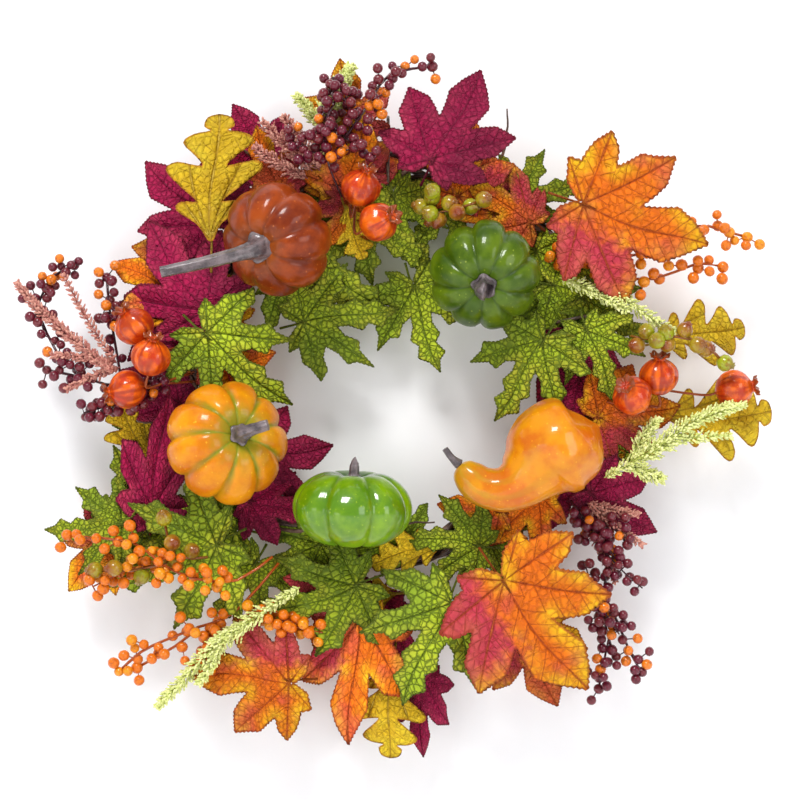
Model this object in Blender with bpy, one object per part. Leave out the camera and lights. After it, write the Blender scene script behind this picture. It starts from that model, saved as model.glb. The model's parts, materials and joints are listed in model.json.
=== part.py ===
"""Harvest door wreath: a grapevine ring dressed with gourds, pods, berry sprays, seed sprays and leaves.

Metres, +Z up, +X to the viewer's right, and the door behind at +Y. The origin is where the door hook
bears, inside the top of the hanging loop. A place on the wreath is given round the ring: an angle
from +X, a distance out from the ring's centre line, and a depth in front of the door.
"""

import math

import bmesh
import bpy
from mathutils import Matrix, Vector
from mathutils.bvhtree import BVHTree
from mathutils.geometry import delaunay_2d_cdt

# Ring
RING_RADIUS = 0.152
VINE_COUNT = 4
VINE_RADIUS = 0.0072
VINE_GAP = 0.0014
VINE_TURNS = 6
VINE_POINTS = 48
TIE_WIRE_RADIUS = 0.0014
TIE_WIRE_POINTS = 20
TIE_CLEARANCE = 0.0008
TIE_ANGLES = {"tie_wire_left": 195.0, "tie_wire_right": 12.0}

# Hanging loop
LOOP_WIRE_RADIUS = 0.0013
LOOP_RISE = 0.040
LOOP_CREST_RADIUS = 0.008
LOOP_STEPS = 14
CREST_STEPS = 6

# Dressing
LAY_GAP = 0.0012
SEAT_GAP = 0.0004
LEAF_THICKNESS = 0.0010
PETIOLE_RADIUS = 0.0014
PETIOLE_DIP = 0.010
PETIOLE_SHARE = 0.26  # of the leaf's length, beyond its base
SEAT_SHARE = 0.80  # of a pumpkin's half height, where its stalk's seat lies
SEAT_RIM = 0.0025
GROOVE_SHARE = 0.07  # of a pumpkin's radius, cut by each groove
BERRY_RADIUS = 0.0040
ORANGE_BERRY_RADIUS = 0.0043
ROSE_BERRY_RADIUS = 0.0068
STEM_RADIUS = 0.0011
POD_RADIUS = 0.0150
POD_STEM_RADIUS = 0.0014

# Worked out from the sizes above
VINE_SLOPE = 0.90  # cosine of a vine's slope in the twist
VINE_LAY = (VINE_RADIUS + VINE_GAP / 2) / (math.sin(math.pi / VINE_COUNT) * VINE_SLOPE)
BUNDLE_RADIUS = VINE_LAY + VINE_RADIUS
LOOP_TURN_RADIUS = BUNDLE_RADIUS + TIE_CLEARANCE + 2 * LOOP_WIRE_RADIUS
RING_DEPTH = LOOP_TURN_RADIUS + LOOP_WIRE_RADIUS
RING_DROP = RING_RADIUS + LOOP_RISE

MM = 0.001
FORWARD = Vector((0.0, -1.0, 0.0))
FAR = 1.0
WELD = 0.00002
SHARP_ANGLE = 50.0

COLOURS = {
    "vine": (0.09, 0.05, 0.035),
    "wire": (0.10, 0.07, 0.05),
    "rust": (0.40, 0.09, 0.02),
    "dark_green": (0.07, 0.16, 0.02),
    "gold": (0.85, 0.33, 0.01),
    "lime": (0.16, 0.38, 0.01),
    "stem": (0.20, 0.16, 0.15),
    "burgundy": (0.27, 0.02, 0.07),
    "orange": (0.75, 0.20, 0.01),
    "green": (0.24, 0.31, 0.03),
    "yellow": (0.66, 0.42, 0.02),
    "pod": (0.75, 0.12, 0.01),
    "seed": (0.64, 0.70, 0.33),
    "pink_seed": (0.45, 0.20, 0.16),
    "rose_berry": (0.42, 0.45, 0.05),
}

# Half outlines from tip to stalk, along the midrib and out from it, as shares of the leaf's length.
MAPLE = [
    (0.82, 0.11),
    (0.64, 0.20),
    (0.44, 0.13),
    (0.51, 0.34),
    (0.50, 0.54),
    (0.32, 0.47),
    (0.19, 0.41),
    (0.12, 0.23),
    (-0.04, 0.42),
    (-0.14, 0.34),
    (-0.06, 0.08),
]
OAK = [
    (0.93, 0.09),
    (0.82, 0.06),
    (0.80, 0.24),
    (0.66, 0.20),
    (0.60, 0.07),
    (0.56, 0.32),
    (0.44, 0.27),
    (0.36, 0.08),
    (0.31, 0.22),
    (0.20, 0.16),
    (0.08, 0.04),
]
OUTLINES = {"maple": MAPLE, "oak": OAK}
MIDRIB_SHARES = (0.12, 0.34, 0.58, 0.80)

# name: outline, colour, (angle, out, depth) of the stalk's top, heading, length, width as a share of
# the outline's, pitch, roll, droop and fold
BACK_LEAVES = {
    "burgundy_leaf_upper_left": ("maple", "burgundy", (143, 20, 50), 136, 74, 1.0, 2, 0, 0.05, 0.10),
    "burgundy_leaf_left": ("maple", "burgundy", (166, -4, 56), 124, 84, 1.0, 2, -10, 0.10, 0.16),
    "yellow_oak_leaf_top": ("oak", "yellow", (146, 12, 58), 88, 98, 1.0, 2, 6, 0.05, 0.08),
    "rust_leaf_top": ("maple", "orange", (103, -14, 48), 94, 60, 1.0, 6, 0, 0.04, 0.08),
    "orange_leaf_far_left": ("maple", "orange", (213, 106, 44), 228, 58, 1.0, -4, 0, 0.06, 0.10),
    "green_leaf_far_left": ("maple", "green", (212, 94, 56), 184, 62, 1.0, -2, 8, 0.08, 0.14),
    "yellow_oak_leaf_right": ("oak", "yellow", (3, 60, 50), 12, 72, 1.0, -2, 10, 0.04, 0.10),
    "yellow_oak_leaf_lower_right": ("oak", "yellow", (348, 70, 50), 2, 88, 1.0, -3, -8, 0.04, 0.10),
    "rust_leaf_right": ("maple", "orange", (344, 20, 52), 10, 66, 1.0, 0, 0, 0.06, 0.10),
    "burgundy_leaf_lower_right": ("maple", "burgundy", (326, 40, 48), 329, 62, 1.0, -2, 20, 0.08, 0.20),
    "burgundy_leaf_bottom": ("maple", "burgundy", (276, 104, 46), 268, 62, 0.65, -3, 18, 0.06, 0.20),
    "pink_leaf_left": ("maple", "burgundy", (213, 66, 52), 84, 92, 0.55, 0, 18, 0.04, 0.25),
    "yellow_oak_leaf_bottom": ("oak", "yellow", (271, 86, 52), 266, 78, 1.0, -3, 8, 0.04, 0.10),
    "rust_leaf_bottom": ("maple", "orange", (263, 54, 58), 267, 100, 0.72, -3, 14, 0.05, 0.16),
}
MIDDLE_LEAVES = {
    "green_leaf_inner_right": ("maple", "green", (72, -92, 42), 288, 72, 1.0, -3, 6, 0.06, 0.14),
    "green_leaf_inner_top": ("maple", "green", (157, -80, 46), 10, 76, 1.0, 0, -4, 0.05, 0.08),
    "green_leaf_left": ("maple", "green", (173, -8, 56), 320, 88, 0.9, -5, 6, 0.08, 0.10),
    "green_leaf_outer_right": ("maple", "green", (8, 4, 54), 292, 60, 1.0, -4, 12, 0.08, 0.16),
    "green_leaf_right": ("maple", "green", (6, -30, 56), 238, 74, 1.0, -6, 0, 0.08, 0.14),
    "green_leaf_lower_right": ("maple", "green", (296, 12, 54), 172, 62, 1.0, -4, 0, 0.08, 0.14),
    "green_leaf_bottom_left": ("maple", "green", (262, 26, 52), 200, 90, 0.85, -4, 8, 0.08, 0.14),
    "green_leaf_lower_left": ("maple", "green", (227, 44, 54), 203, 94, 1.0, -3, 0, 0.10, 0.12),
    "green_leaf_bottom": ("maple", "green", (284, 42, 60), 247, 92, 1.0, -5, 0, 0.10, 0.14),
}
FRONT_LEAVES = {
    "orange_leaf_right": ("maple", "orange", (38, 38, 84), 341, 104, 1.0, -2, 8, 0.10, 0.08),
    "orange_leaf_lower_right": ("maple", "orange", (297, 40, 92), 306, 112, 1.0, -4, 4, 0.12, 0.08),
    "orange_leaf_lower_left": ("maple", "orange", (253, 110, 66), 178, 80, 1.0, -3, 0, 0.10, 0.10),
    "burgundy_leaf_top": ("maple", "burgundy", (77, 4, 74), 62, 80, 1.0, 2, 0, 0.06, 0.10),
}

# name: colour, (angle, out, depth) of the centre, stalk heading and pitch, radius, half height, ribs
PUMPKINS = {
    "rust_pumpkin": ("rust", (133, -28, 70), 214, 58, 44, 35, 8),
    "green_pumpkin": ("dark_green", (40, -54, 72), 259, 68, 43, 33, 9),
    "gold_pumpkin": ("gold", (208, -12, 72), 29, 62, 48, 37, 9),
    "lime_pumpkin": ("lime", (257, -32, 72), 88, 4, 48, 32, 7),
}
# name: foot radius, tip radius, length, and how far the tip bends sideways, as shares of the length
PUMPKIN_STALKS = {
    "rust_pumpkin": (9.0, 4.0, 62, -0.95, -0.20),
    "green_pumpkin": (7.5, 6.5, 16, 0.10, 0.00),
    "gold_pumpkin": (6.5, 4.0, 22, 0.75, 0.20),
    "lime_pumpkin": (4.0, 2.6, 16, 0.12, 0.00),
}
# Share of the stalk's length, and how much of its foot's extra thickness is left there
STALK_TAPER = ((0.10, 0.55), (0.25, 0.30), (0.5, 0.15), (0.75, 0.05), (1.0, 0.0))
STALK_COLLAR = 0.006
# Spine and half thickness of the crookneck gourd, from its round end to its neck
CROOKNECK = [
    ((342, 18, 76), 2),
    ((340, 14, 76), 17),
    ((337, 8, 76), 31),
    ((333, -2, 76), 38),
    ((327, -9, 76), 35),
    ((321, -11, 77), 26),
    ((315, -13, 78), 20),
    ((310, -19, 78), 17),
    ((306, -30, 78), 15),
    ((304.5, -41, 78), 13),
    ((304, -49, 78), 9),
    ((303.8, -52, 78), 4),
]
CROOKNECK_STALK = [((303.6, -53, 78), 3.6), ((302.5, -60, 80), 2.6), ((302, -69, 82), 2.2)]

# Place along a pod and its half thickness there, as shares of its radius
POD_PROFILE = [
    (-1.00, 0.25),
    (-0.75, 0.72),
    (-0.25, 1.00),
    (0.30, 0.94),
    (0.72, 0.62),
    (0.92, 0.30),
    (1.30, 0.48),
]
# name: the stalk's route, and for each pod its middle and its crown's heading and pitch
PODS = {
    "pod_pick_left": {
        "stalk": [(190, 30, 56), (185, 38, 60), (179, 42, 64), (174, 46, 62)],
        "pods": [((173, 46, 62), 125, 20), ((180, 30, 74), 80, 20), ((187, 52, 58), 190, 15)],
    },
    "pod_pick_top": {
        "stalk": [(97, -6, 52), (98, -16, 62), (98, -30, 74)],
        "pods": [((99, -20, 80), 70, 25), ((94, -48, 82), 20, 40)],
    },
    "pod_pick_right": {
        "stalk": [(348, 44, 66), (352, 56, 66), (354, 90, 60), (354.6, 112, 56)],
        "pods": [((351, 38, 82), 130, 50), ((356, 58, 72), 90, 20), ((354.8, 120, 54), 10, 10)],
    },
}

# name: colour, berry radius, and for each branch its number of berries and its route
SPRAYS = {
    "burgundy_spray_left": (
        "burgundy",
        BERRY_RADIUS,
        [
            (7, [(187, 30, 50), (186, 58, 50), (184, 84, 52), (179, 108, 52), (173, 124, 50)]),
            (6, [(176, 118, 51), (171, 126, 50), (166, 118, 48), (163.5, 106, 46)]),
            (4, [(184, 84, 52), (183, 98, 54), (182, 116, 52)]),
            (5, [(186, 58, 50), (178, 62, 50), (170, 70, 52), (164, 78, 50)]),
        ],
    ),
    "burgundy_spray_right": (
        "burgundy",
        BERRY_RADIUS,
        [
            (7, [(322, 30, 50), (320, 56, 52), (317, 84, 52), (311, 104, 50), (307.5, 138, 46)]),
            (6, [(312.5, 98, 51), (311, 124, 48), (309.5, 148, 44), (309, 167, 42)]),
            (5, [(308.5, 128, 48), (305, 144, 44), (302.5, 158, 42)]),
            (4, [(320, 56, 52), (323, 70, 56), (322, 86, 56)]),
        ],
    ),
    "orange_spray_upper_right": (
        "orange",
        ORANGE_BERRY_RADIUS,
        [
            (
                9,
                [
                    (32, 6, 48),
                    (26, 24, 52),
                    (22.5, 60, 56),
                    (23.5, 108, 54),
                    (21, 128, 52),
                    (18.6, 146, 50),
                ],
            ),
            (8, [(28, 14, 50), (20.5, 34, 54), (16.5, 66, 54), (17, 102, 52), (15.2, 121, 50)]),
        ],
    ),
    "orange_spray_bottom_left": (
        "orange",
        ORANGE_BERRY_RADIUS,
        [
            (
                8,
                [
                    (242, 30, 46),
                    (239, 80, 50),
                    (235, 104, 52),
                    (231.7, 129, 52),
                    (230, 148, 50),
                    (229.4, 171, 48),
                ],
            ),
            (4, [(235, 104, 52), (233.6, 128, 49), (231, 160, 46)]),
            (4, [(240, 66, 50), (245, 74, 50), (250.6, 64, 50)]),
        ],
    ),
}
FRONT_SPRAYS = {
    "rose_berry_spray_left": (
        "rose_berry",
        ROSE_BERRY_RADIUS,
        [
            (4, [(228, 56, 60), (223, 72, 64), (215.7, 60, 68)]),
            (4, [(225, 66, 62), (220, 104, 64), (216, 128, 60)]),
        ],
    ),
    "orange_spray_left": (
        "orange",
        ORANGE_BERRY_RADIUS,
        [
            (
                14,
                [
                    (240, 26, 58),
                    (236, 55, 66),
                    (229.5, 72, 70),
                    (222.7, 83, 70),
                    (216, 90, 68),
                    (209, 131, 60),
                ],
            ),
        ],
    ),
    "rose_berry_spray_top": (
        "rose_berry",
        ROSE_BERRY_RADIUS,
        [
            (5, [(76, -40, 58), (75, -34, 72), (75, -20, 82)]),
            (5, [(75.5, -36, 68), (66, -28, 80), (58.6, -10, 82)]),
        ],
    ),
    "rose_berry_spray_right": (
        "rose_berry",
        ROSE_BERRY_RADIUS,
        [
            (4, [(5, 36, 58), (4, 48, 64), (5, 62, 66)]),
            (5, [(4.5, 42, 61), (4, 70, 66), (2.4, 90, 64), (359, 108, 58)]),
        ],
    ),
    "burgundy_spray_top": (
        "burgundy",
        BERRY_RADIUS,
        [
            (9, [(106, -22, 52), (107, 0, 60), (106.5, 22, 64), (103.5, 42, 62), (99.2, 60, 56)]),
            (8, [(106.8, 6, 61), (98, 30, 60), (93.6, 48, 57), (89.5, 68, 54), (81.3, 77, 50)]),
            (5, [(106.6, 16, 63), (112, 18, 60), (114, 34, 58)]),
            (5, [(104.5, 36, 62), (99, 14, 66), (95, 2, 68)]),
        ],
    ),
}

# name: colour, route with the half thickness of the seed head at each point
SEED_SPRAYS = {
    "pink_seed_spray": (
        "pink_seed",
        [
            ((183, 62, 62), 1.4),
            ((180, 76, 62), 3.4),
            ((176, 98, 60), 3.6),
            ((172, 124, 56), 2.6),
            ((168.6, 145, 52), 1.2),
        ],
    ),
    "pale_seed_spray_top": (
        "seed",
        [((108, 10, 50), 1.4), ((106, 40, 48), 5.0), ((102, 60, 46), 4.2), ((97.6, 80, 44), 1.4)],
    ),
    "pale_seed_spray_bottom": (
        "seed",
        [
            ((249, 40, 56), 1.6),
            ((243, 74, 66), 6.0),
            ((239, 112, 66), 5.4),
            ((237.4, 150, 58), 3.6),
            ((236.6, 175, 50), 1.4),
        ],
    ),
    "pale_seed_spray_right": (
        "seed",
        [
            ((331, 40, 62), 1.6),
            ((340, 62, 78), 7.0),
            ((347, 84, 76), 5.0),
            ((350.8, 108, 66), 4.0),
            ((352.5, 126, 60), 1.4),
        ],
    ),
}

laid = []  # of each piece in place, its ray-cast tree, its surface points and their extent


def clear_scene():
    for obj in list(bpy.data.objects):
        bpy.data.objects.remove(obj, do_unlink=True)


def material(slot):
    found = bpy.data.materials.get(slot)
    if found:
        return found
    made = bpy.data.materials.new(slot)
    made.use_nodes = True
    shader = made.node_tree.nodes["Principled BSDF"]
    shader.inputs["Base Color"].default_value = (*COLOURS[slot], 1.0)
    shader.inputs["Roughness"].default_value = 0.6
    shader.inputs["Metallic"].default_value = 0.0
    return made


def spot(place):
    """The point at an angle, a distance out from the ring's centre line and a depth off the door, in mm."""
    angle, out, depth = place
    radius = RING_RADIUS + out * MM
    turn = math.radians(angle)
    return Vector(
        (radius * math.cos(turn), RING_DEPTH - depth * MM, radius * math.sin(turn) - RING_DROP)
    )


def add_object(name, mesh, origin, slot):
    """A node whose mesh, given in world places, is moved to sit about its origin."""
    mesh.name = name
    mesh.transform(Matrix.Translation(-origin))
    mesh.materials.clear()
    mesh.materials.append(material(slot))
    mesh.shade_smooth()
    mesh.set_sharp_from_angle(angle=math.radians(SHARP_ANGLE))
    obj = bpy.data.objects.new(name, mesh)
    obj.location = origin
    bpy.context.scene.collection.objects.link(obj)
    return obj


def catmull_rom(p, q, r, s, t):
    square = (2 * p - 5 * q + 4 * r - s) * t**2
    cube = (3 * q - p - 3 * r + s) * t**3
    return 0.5 * (2 * q + (r - p) * t + square + cube)


def eased(points, steps):
    """Points on a smooth curve through the given ones, whose rows may be of any length."""
    rows = [points[0]] + list(points) + [points[-1]]
    found = []
    for i in range(1, len(rows) - 2):
        a, b, c, d = rows[i - 1 : i + 3]
        for step in range(steps):
            t = step / steps
            found.append(tuple(catmull_rom(*values, t) for values in zip(a, b, c, d)))
    return found + [tuple(points[-1])]


def tube_mesh(rows, resolution=1, cyclic=False):
    """A closed tube through rows of x, y, z and radius, made by a bevelled curve."""
    curve = bpy.data.curves.new("route", "CURVE")
    curve.dimensions = "3D"
    curve.bevel_depth = 1.0
    curve.bevel_resolution = resolution
    curve.use_fill_caps = not cyclic
    spline = curve.splines.new("POLY")
    spline.points.add(len(rows) - 1)
    for point, (x, y, z, radius) in zip(spline.points, rows):
        point.co = (x, y, z, 1.0)
        point.radius = radius
    spline.use_cyclic_u = cyclic
    holder = bpy.data.objects.new("route", curve)
    bpy.context.scene.collection.objects.link(holder)
    mesh = bpy.data.meshes.new_from_object(holder)
    bpy.data.objects.remove(holder, do_unlink=True)
    bpy.data.curves.remove(curve)
    return welded(mesh)


def welded(mesh):
    """The same mesh with touching points made one and every face turned outwards."""
    bm = bmesh.new()
    bm.from_mesh(mesh)
    bmesh.ops.remove_doubles(bm, verts=bm.verts, dist=WELD)
    bmesh.ops.recalc_face_normals(bm, faces=bm.faces)
    bm.to_mesh(mesh)
    bm.free()
    return mesh


def route_rows(route, radius, steps=2):
    """Rows for tube_mesh along places round the ring, at one radius."""
    return [(*point, radius) for point in eased([tuple(spot(place)) for place in route], steps)]


def joined(meshes):
    """One mesh that holds all of these, still overlapping."""
    bm = bmesh.new()
    for mesh in meshes:
        bm.from_mesh(mesh)
        bpy.data.meshes.remove(mesh)
    whole = bpy.data.meshes.new("joined")
    bm.to_mesh(whole)
    bm.free()
    return whole


def united(stems, fruits):
    """The union of overlapping stems with the fruits that sit on them, as one body."""
    base = bpy.data.objects.new("base", joined(stems))
    fruit = bpy.data.objects.new("fruit", joined(fruits))
    for obj in (base, fruit):
        bpy.context.scene.collection.objects.link(obj)
    union = base.modifiers.new("union", "BOOLEAN")
    union.operation = "UNION"
    union.solver = "EXACT"
    union.use_self = True
    union.object = fruit
    graph = bpy.context.evaluated_depsgraph_get()
    graph.update()
    mesh = bpy.data.meshes.new_from_object(base.evaluated_get(graph), depsgraph=graph)
    for obj in (base, fruit):
        data = obj.data
        bpy.data.objects.remove(obj, do_unlink=True)
        bpy.data.meshes.remove(data)
    return mesh


def surface_points(mesh):
    """Points spread over a mesh: its corners, the middles of its edges and of its faces."""
    points = [v.co.copy() for v in mesh.vertices]
    points += [(points[e.vertices[0]] + points[e.vertices[1]]) / 2 for e in mesh.edges]
    return points + [face.center.copy() for face in mesh.polygons]


def tree_of(mesh):
    return BVHTree.FromPolygons([v.co for v in mesh.vertices], [tuple(p.vertices) for p in mesh.polygons])


def extent(points):
    """Lowest and highest X, then Z, of some points."""
    xs = [p.x for p in points]
    zs = [p.z for p in points]
    return min(xs), max(xs), min(zs), max(zs)


def forward_shift(mesh):
    """How far a piece has to come forward to lie on everything that was laid before it."""
    points = surface_points(mesh)
    tree = tree_of(mesh)
    left, right, low, high = extent(points)
    shift = 0.0
    for other_tree, others, (x0, x1, z0, z1) in laid:
        if x0 > right or x1 < left or z0 > high or z1 < low:
            continue
        for p in points:
            if x0 < p.x < x1 and z0 < p.z < z1:
                hit = other_tree.ray_cast(Vector((p.x, -FAR, p.z)), -FORWARD)[0]
                if hit:
                    shift = max(shift, p.y - hit.y + LAY_GAP)
        for q in others:
            if left < q.x < right and low < q.z < high:
                hit = tree.ray_cast(Vector((q.x, FAR, q.z)), FORWARD)[0]
                if hit:
                    shift = max(shift, hit.y - q.y + LAY_GAP)
    return shift


def keep(mesh):
    points = surface_points(mesh)
    laid.append((tree_of(mesh), points, extent(points)))


def lay(name, mesh, origin, slot, extras=()):
    """Puts a piece on the pile, moved forward until it clears it, and returns how far it moved."""
    whole = joined([part.copy() for part in (mesh, *extras)])
    shift = FORWARD * forward_shift(whole)
    bpy.data.meshes.remove(whole)
    mesh.transform(Matrix.Translation(shift))
    keep(mesh)
    add_object(name, mesh, origin + shift, slot)
    return shift


def add_ring():
    """Vines twisted round the ring's centre line, each closed on itself."""
    for vine in range(VINE_COUNT):
        rows = []
        for i in range(VINE_POINTS):
            along = 2 * math.pi * i / VINE_POINTS
            twist = VINE_TURNS * along + 2 * math.pi * vine / VINE_COUNT
            out = VINE_LAY * math.cos(twist) / MM
            depth = (RING_DEPTH + VINE_LAY * math.sin(twist)) / MM
            rows.append((*spot((math.degrees(along), out, depth)), VINE_RADIUS))
        mesh = tube_mesh(rows, cyclic=True)
        keep(mesh)
        add_object(f"vine_{vine + 1}", mesh, spot((0, 0, RING_DEPTH / MM)), "vine")


def add_tie_wires():
    """Wires that bind the twisted vines."""
    turn_radius = BUNDLE_RADIUS + TIE_CLEARANCE + TIE_WIRE_RADIUS
    for name, angle in TIE_ANGLES.items():
        rows = []
        for i in range(TIE_WIRE_POINTS):
            turn = 2 * math.pi * i / TIE_WIRE_POINTS
            out = turn_radius * math.cos(turn) / MM
            depth = (RING_DEPTH + turn_radius * math.sin(turn)) / MM
            rows.append((*spot((angle, out, depth)), TIE_WIRE_RADIUS))
        mesh = tube_mesh(rows, cyclic=True)
        keep(mesh)
        add_object(name, mesh, spot((angle, 0, RING_DEPTH / MM)), "wire")


def add_hanging_loop():
    """A closed wire loop round the top of the ring, drawn up to a crest that the door hook goes under."""
    centre_z = -LOOP_RISE
    crest_z = LOOP_WIRE_RADIUS - LOOP_CREST_RADIUS
    rows = []
    for i in range(LOOP_STEPS + 1):
        turn = math.pi * (i / LOOP_STEPS + 1)
        rows.append((LOOP_TURN_RADIUS * math.cos(turn), centre_z + LOOP_TURN_RADIUS * math.sin(turn)))
    for i in range(CREST_STEPS + 1):
        turn = math.pi * i / CREST_STEPS
        rows.append((LOOP_CREST_RADIUS * math.cos(turn), crest_z + LOOP_CREST_RADIUS * math.sin(turn)))
    mesh = tube_mesh([(0.0, y, z, LOOP_WIRE_RADIUS) for y, z in rows], cyclic=True)
    keep(mesh)
    add_object("hanging_loop", mesh, Vector((0.0, 0.0, centre_z)), "wire")


def axes_of(heading, pitch, roll):
    """Along, across and out of a piece that heads round the front, tips forward and rolls."""
    turn = math.radians(heading)
    along = Vector((math.cos(turn), 0.0, math.sin(turn)))
    out = FORWARD.copy()
    across = out.cross(along)
    tip = Matrix.Rotation(math.radians(-pitch), 3, across)
    along, out = tip @ along, tip @ out
    spin = Matrix.Rotation(math.radians(roll), 3, along)
    return along, spin @ across, spin @ out


def leaf_outline(half, stalk_half_width):
    """The whole outline, counter-clockwise from the tip, with the stalk as a tongue."""
    stalk = [(-0.01, stalk_half_width), (-PETIOLE_SHARE, stalk_half_width)]
    side = list(half) + stalk
    return [(1.0, 0.0)] + side + [(s, -t) for s, t in reversed(side)]


def leaf_mesh(shape, place, heading, length, width, pitch, roll, droop, fold):
    """A leaf as a thin closed sheet, folded along its midrib, bent along its length, with its stalk."""
    size = length * MM
    half = [(s, t * width) for s, t in OUTLINES[shape]]
    outline = leaf_outline(half, PETIOLE_RADIUS / size)
    midrib = [(share, 0.0) for share in MIDRIB_SHARES]
    points = [Vector(p) for p in outline + midrib]
    edges = [(i, (i + 1) % len(outline)) for i in range(len(outline))]
    flat, _, faces, _, _, _ = delaunay_2d_cdt(points, edges, [], 1, 1e-6)
    along, across, out = axes_of(heading, pitch, roll)
    base = spot(place)
    bm = bmesh.new()
    verts = []
    for s, t in flat:
        rise = -droop * s * s - fold * abs(t)
        if s < 0 and abs(t) < 2 * PETIOLE_RADIUS / size:
            rise -= PETIOLE_DIP / size * (s / PETIOLE_SHARE) ** 2
        verts.append(bm.verts.new(base + size * (s * along + t * across + rise * out)))
    sheet = [bm.faces.new([verts[i] for i in face]) for face in faces]
    grown = bmesh.ops.extrude_face_region(bm, geom=sheet)
    moved = [g for g in grown["geom"] if isinstance(g, bmesh.types.BMVert)]
    bmesh.ops.translate(bm, verts=moved, vec=-out * LEAF_THICKNESS)
    bmesh.ops.recalc_face_normals(bm, faces=bm.faces)
    bmesh.ops.triangulate(bm, faces=bm.faces)
    mesh = bpy.data.meshes.new("leaf")
    bm.to_mesh(mesh)
    bm.free()
    return mesh, base - size * PETIOLE_SHARE * along


def add_leaves(table):
    for name, (shape, slot, place, *pose) in table.items():
        mesh, root = leaf_mesh(shape, place, *pose)
        lay(name, mesh, root, slot)


def pumpkin_profile(radius, half_height, seat):
    """Radius and height pairs from the stalk's seat, over the shoulder and down to the blossom end."""
    start = math.asin(min(1.0, 1.35 * seat / radius))
    rows = [(seat, SEAT_SHARE * half_height)]
    for step in range(8):
        polar = start + (0.94 * math.pi - start) * step / 7
        dimple = 1.0 - 0.14 * math.exp(-((math.sin(polar) / 0.45) ** 2))
        rows.append((radius * math.sin(polar), half_height * math.cos(polar) * dimple))
    return rows


def pumpkin_mesh(radius, half_height, ribs, seat, centre, axes):
    """A ribbed body on its own axis, with a flat seat for the stalk."""
    along, across, out = axes
    profile = pumpkin_profile(radius, half_height, seat)
    around = 3 * ribs
    bm = bmesh.new()
    rings = []
    for index, (reach, height) in enumerate(profile):
        ring = []
        for i in range(around):
            turn = 2 * math.pi * i / around
            groove = 0.0 if index == 0 or i % 3 else GROOVE_SHARE
            spoke = math.cos(turn) * across + math.sin(turn) * out
            ring.append(bm.verts.new(centre + reach * (1 - groove) * spoke + height * along))
        rings.append(ring)
    for upper, lower in zip(rings, rings[1:]):
        for i in range(around):
            j = (i + 1) % around
            bm.faces.new((upper[i], upper[j], lower[j], lower[i]))
    bm.faces.new(rings[0])
    bm.faces.new(rings[-1])
    bmesh.ops.recalc_face_normals(bm, faces=bm.faces)
    bmesh.ops.triangulate(bm, faces=bm.faces)
    mesh = bpy.data.meshes.new("pumpkin")
    bm.to_mesh(mesh)
    bm.free()
    return mesh


def stalk_mesh(foot, axes, foot_radius, tip_radius, length, lean_x, lean_z):
    """A stalk that starts square to its seat and bends over sideways in the plane of the wreath."""
    along = axes[0]
    lean = Vector((lean_x, 0.0, lean_z))
    rows = [(*foot, foot_radius), (*(foot + along * foot_radius * 0.2), foot_radius * 0.9)]
    for t, share in STALK_TAPER:
        rise = STALK_COLLAR + length * 0.35 * math.sin(math.pi * t / 2)
        middle = foot + along * rise + lean * length * t**1.8
        rows.append((*middle, tip_radius + (foot_radius - tip_radius) * share))
    return tube_mesh(rows, resolution=2)


def add_pumpkins():
    for name, (slot, place, heading, pitch, radius, half_height, ribs) in PUMPKINS.items():
        foot_radius, tip_radius, length, lean_x, lean_z = PUMPKIN_STALKS[name]
        seat = foot_radius * MM + SEAT_RIM
        axes = axes_of(heading, pitch, 0)
        centre = spot(place)
        mesh = pumpkin_mesh(radius * MM, half_height * MM, ribs, seat, centre, axes)
        foot = centre + axes[0] * (SEAT_SHARE * half_height * MM + SEAT_GAP)
        stalk = stalk_mesh(foot, axes, foot_radius * MM, tip_radius * MM, length * MM, lean_x, lean_z)
        shift = lay(name, mesh, centre, slot, extras=[stalk])
        stalk.transform(Matrix.Translation(shift))
        keep(stalk)
        add_object(name + "_stem", stalk, foot + shift, "stem")


def add_crookneck():
    rows = [(*spot(place), radius * MM) for place, radius in CROOKNECK]
    mesh = tube_mesh(eased(rows, 1), resolution=3)
    stalk = tube_mesh([(*spot(place), radius * MM) for place, radius in CROOKNECK_STALK], resolution=2)
    shift = lay("crookneck_gourd", mesh, spot(CROOKNECK[3][0]), "gold", extras=[stalk])
    stalk.transform(Matrix.Translation(shift))
    keep(stalk)
    add_object("crookneck_gourd_stem", stalk, spot(CROOKNECK_STALK[0][0]) + shift, "stem")


def ball_mesh(centre, radius):
    bm = bmesh.new()
    bmesh.ops.create_icosphere(bm, subdivisions=1, radius=radius, matrix=Matrix.Translation(centre))
    mesh = bpy.data.meshes.new("ball")
    bm.to_mesh(mesh)
    bm.free()
    return mesh


def pod_mesh(centre, heading, pitch):
    """A seed pod: a round body with a flared crown at its blossom end."""
    along = axes_of(heading, pitch, 0)[0]
    rows = [(*(centre + along * share * POD_RADIUS), reach * POD_RADIUS) for share, reach in POD_PROFILE]
    return tube_mesh(rows, resolution=2)


def add_pod_picks():
    for name, pick in PODS.items():
        stems = [tube_mesh(route_rows(pick["stalk"], POD_STEM_RADIUS, 2))]
        pods = []
        for place, heading, pitch in pick["pods"]:
            centre = spot(place)
            near = min((spot(p) for p in pick["stalk"][1:]), key=lambda q: (q - centre).length)
            stems.append(tube_mesh([(*near, POD_STEM_RADIUS), (*centre, POD_STEM_RADIUS)]))
            pods.append(pod_mesh(centre, heading, pitch))
        mesh = united(stems, pods)
        lay(name, mesh, spot(pick["stalk"][0]), "pod")


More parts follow.
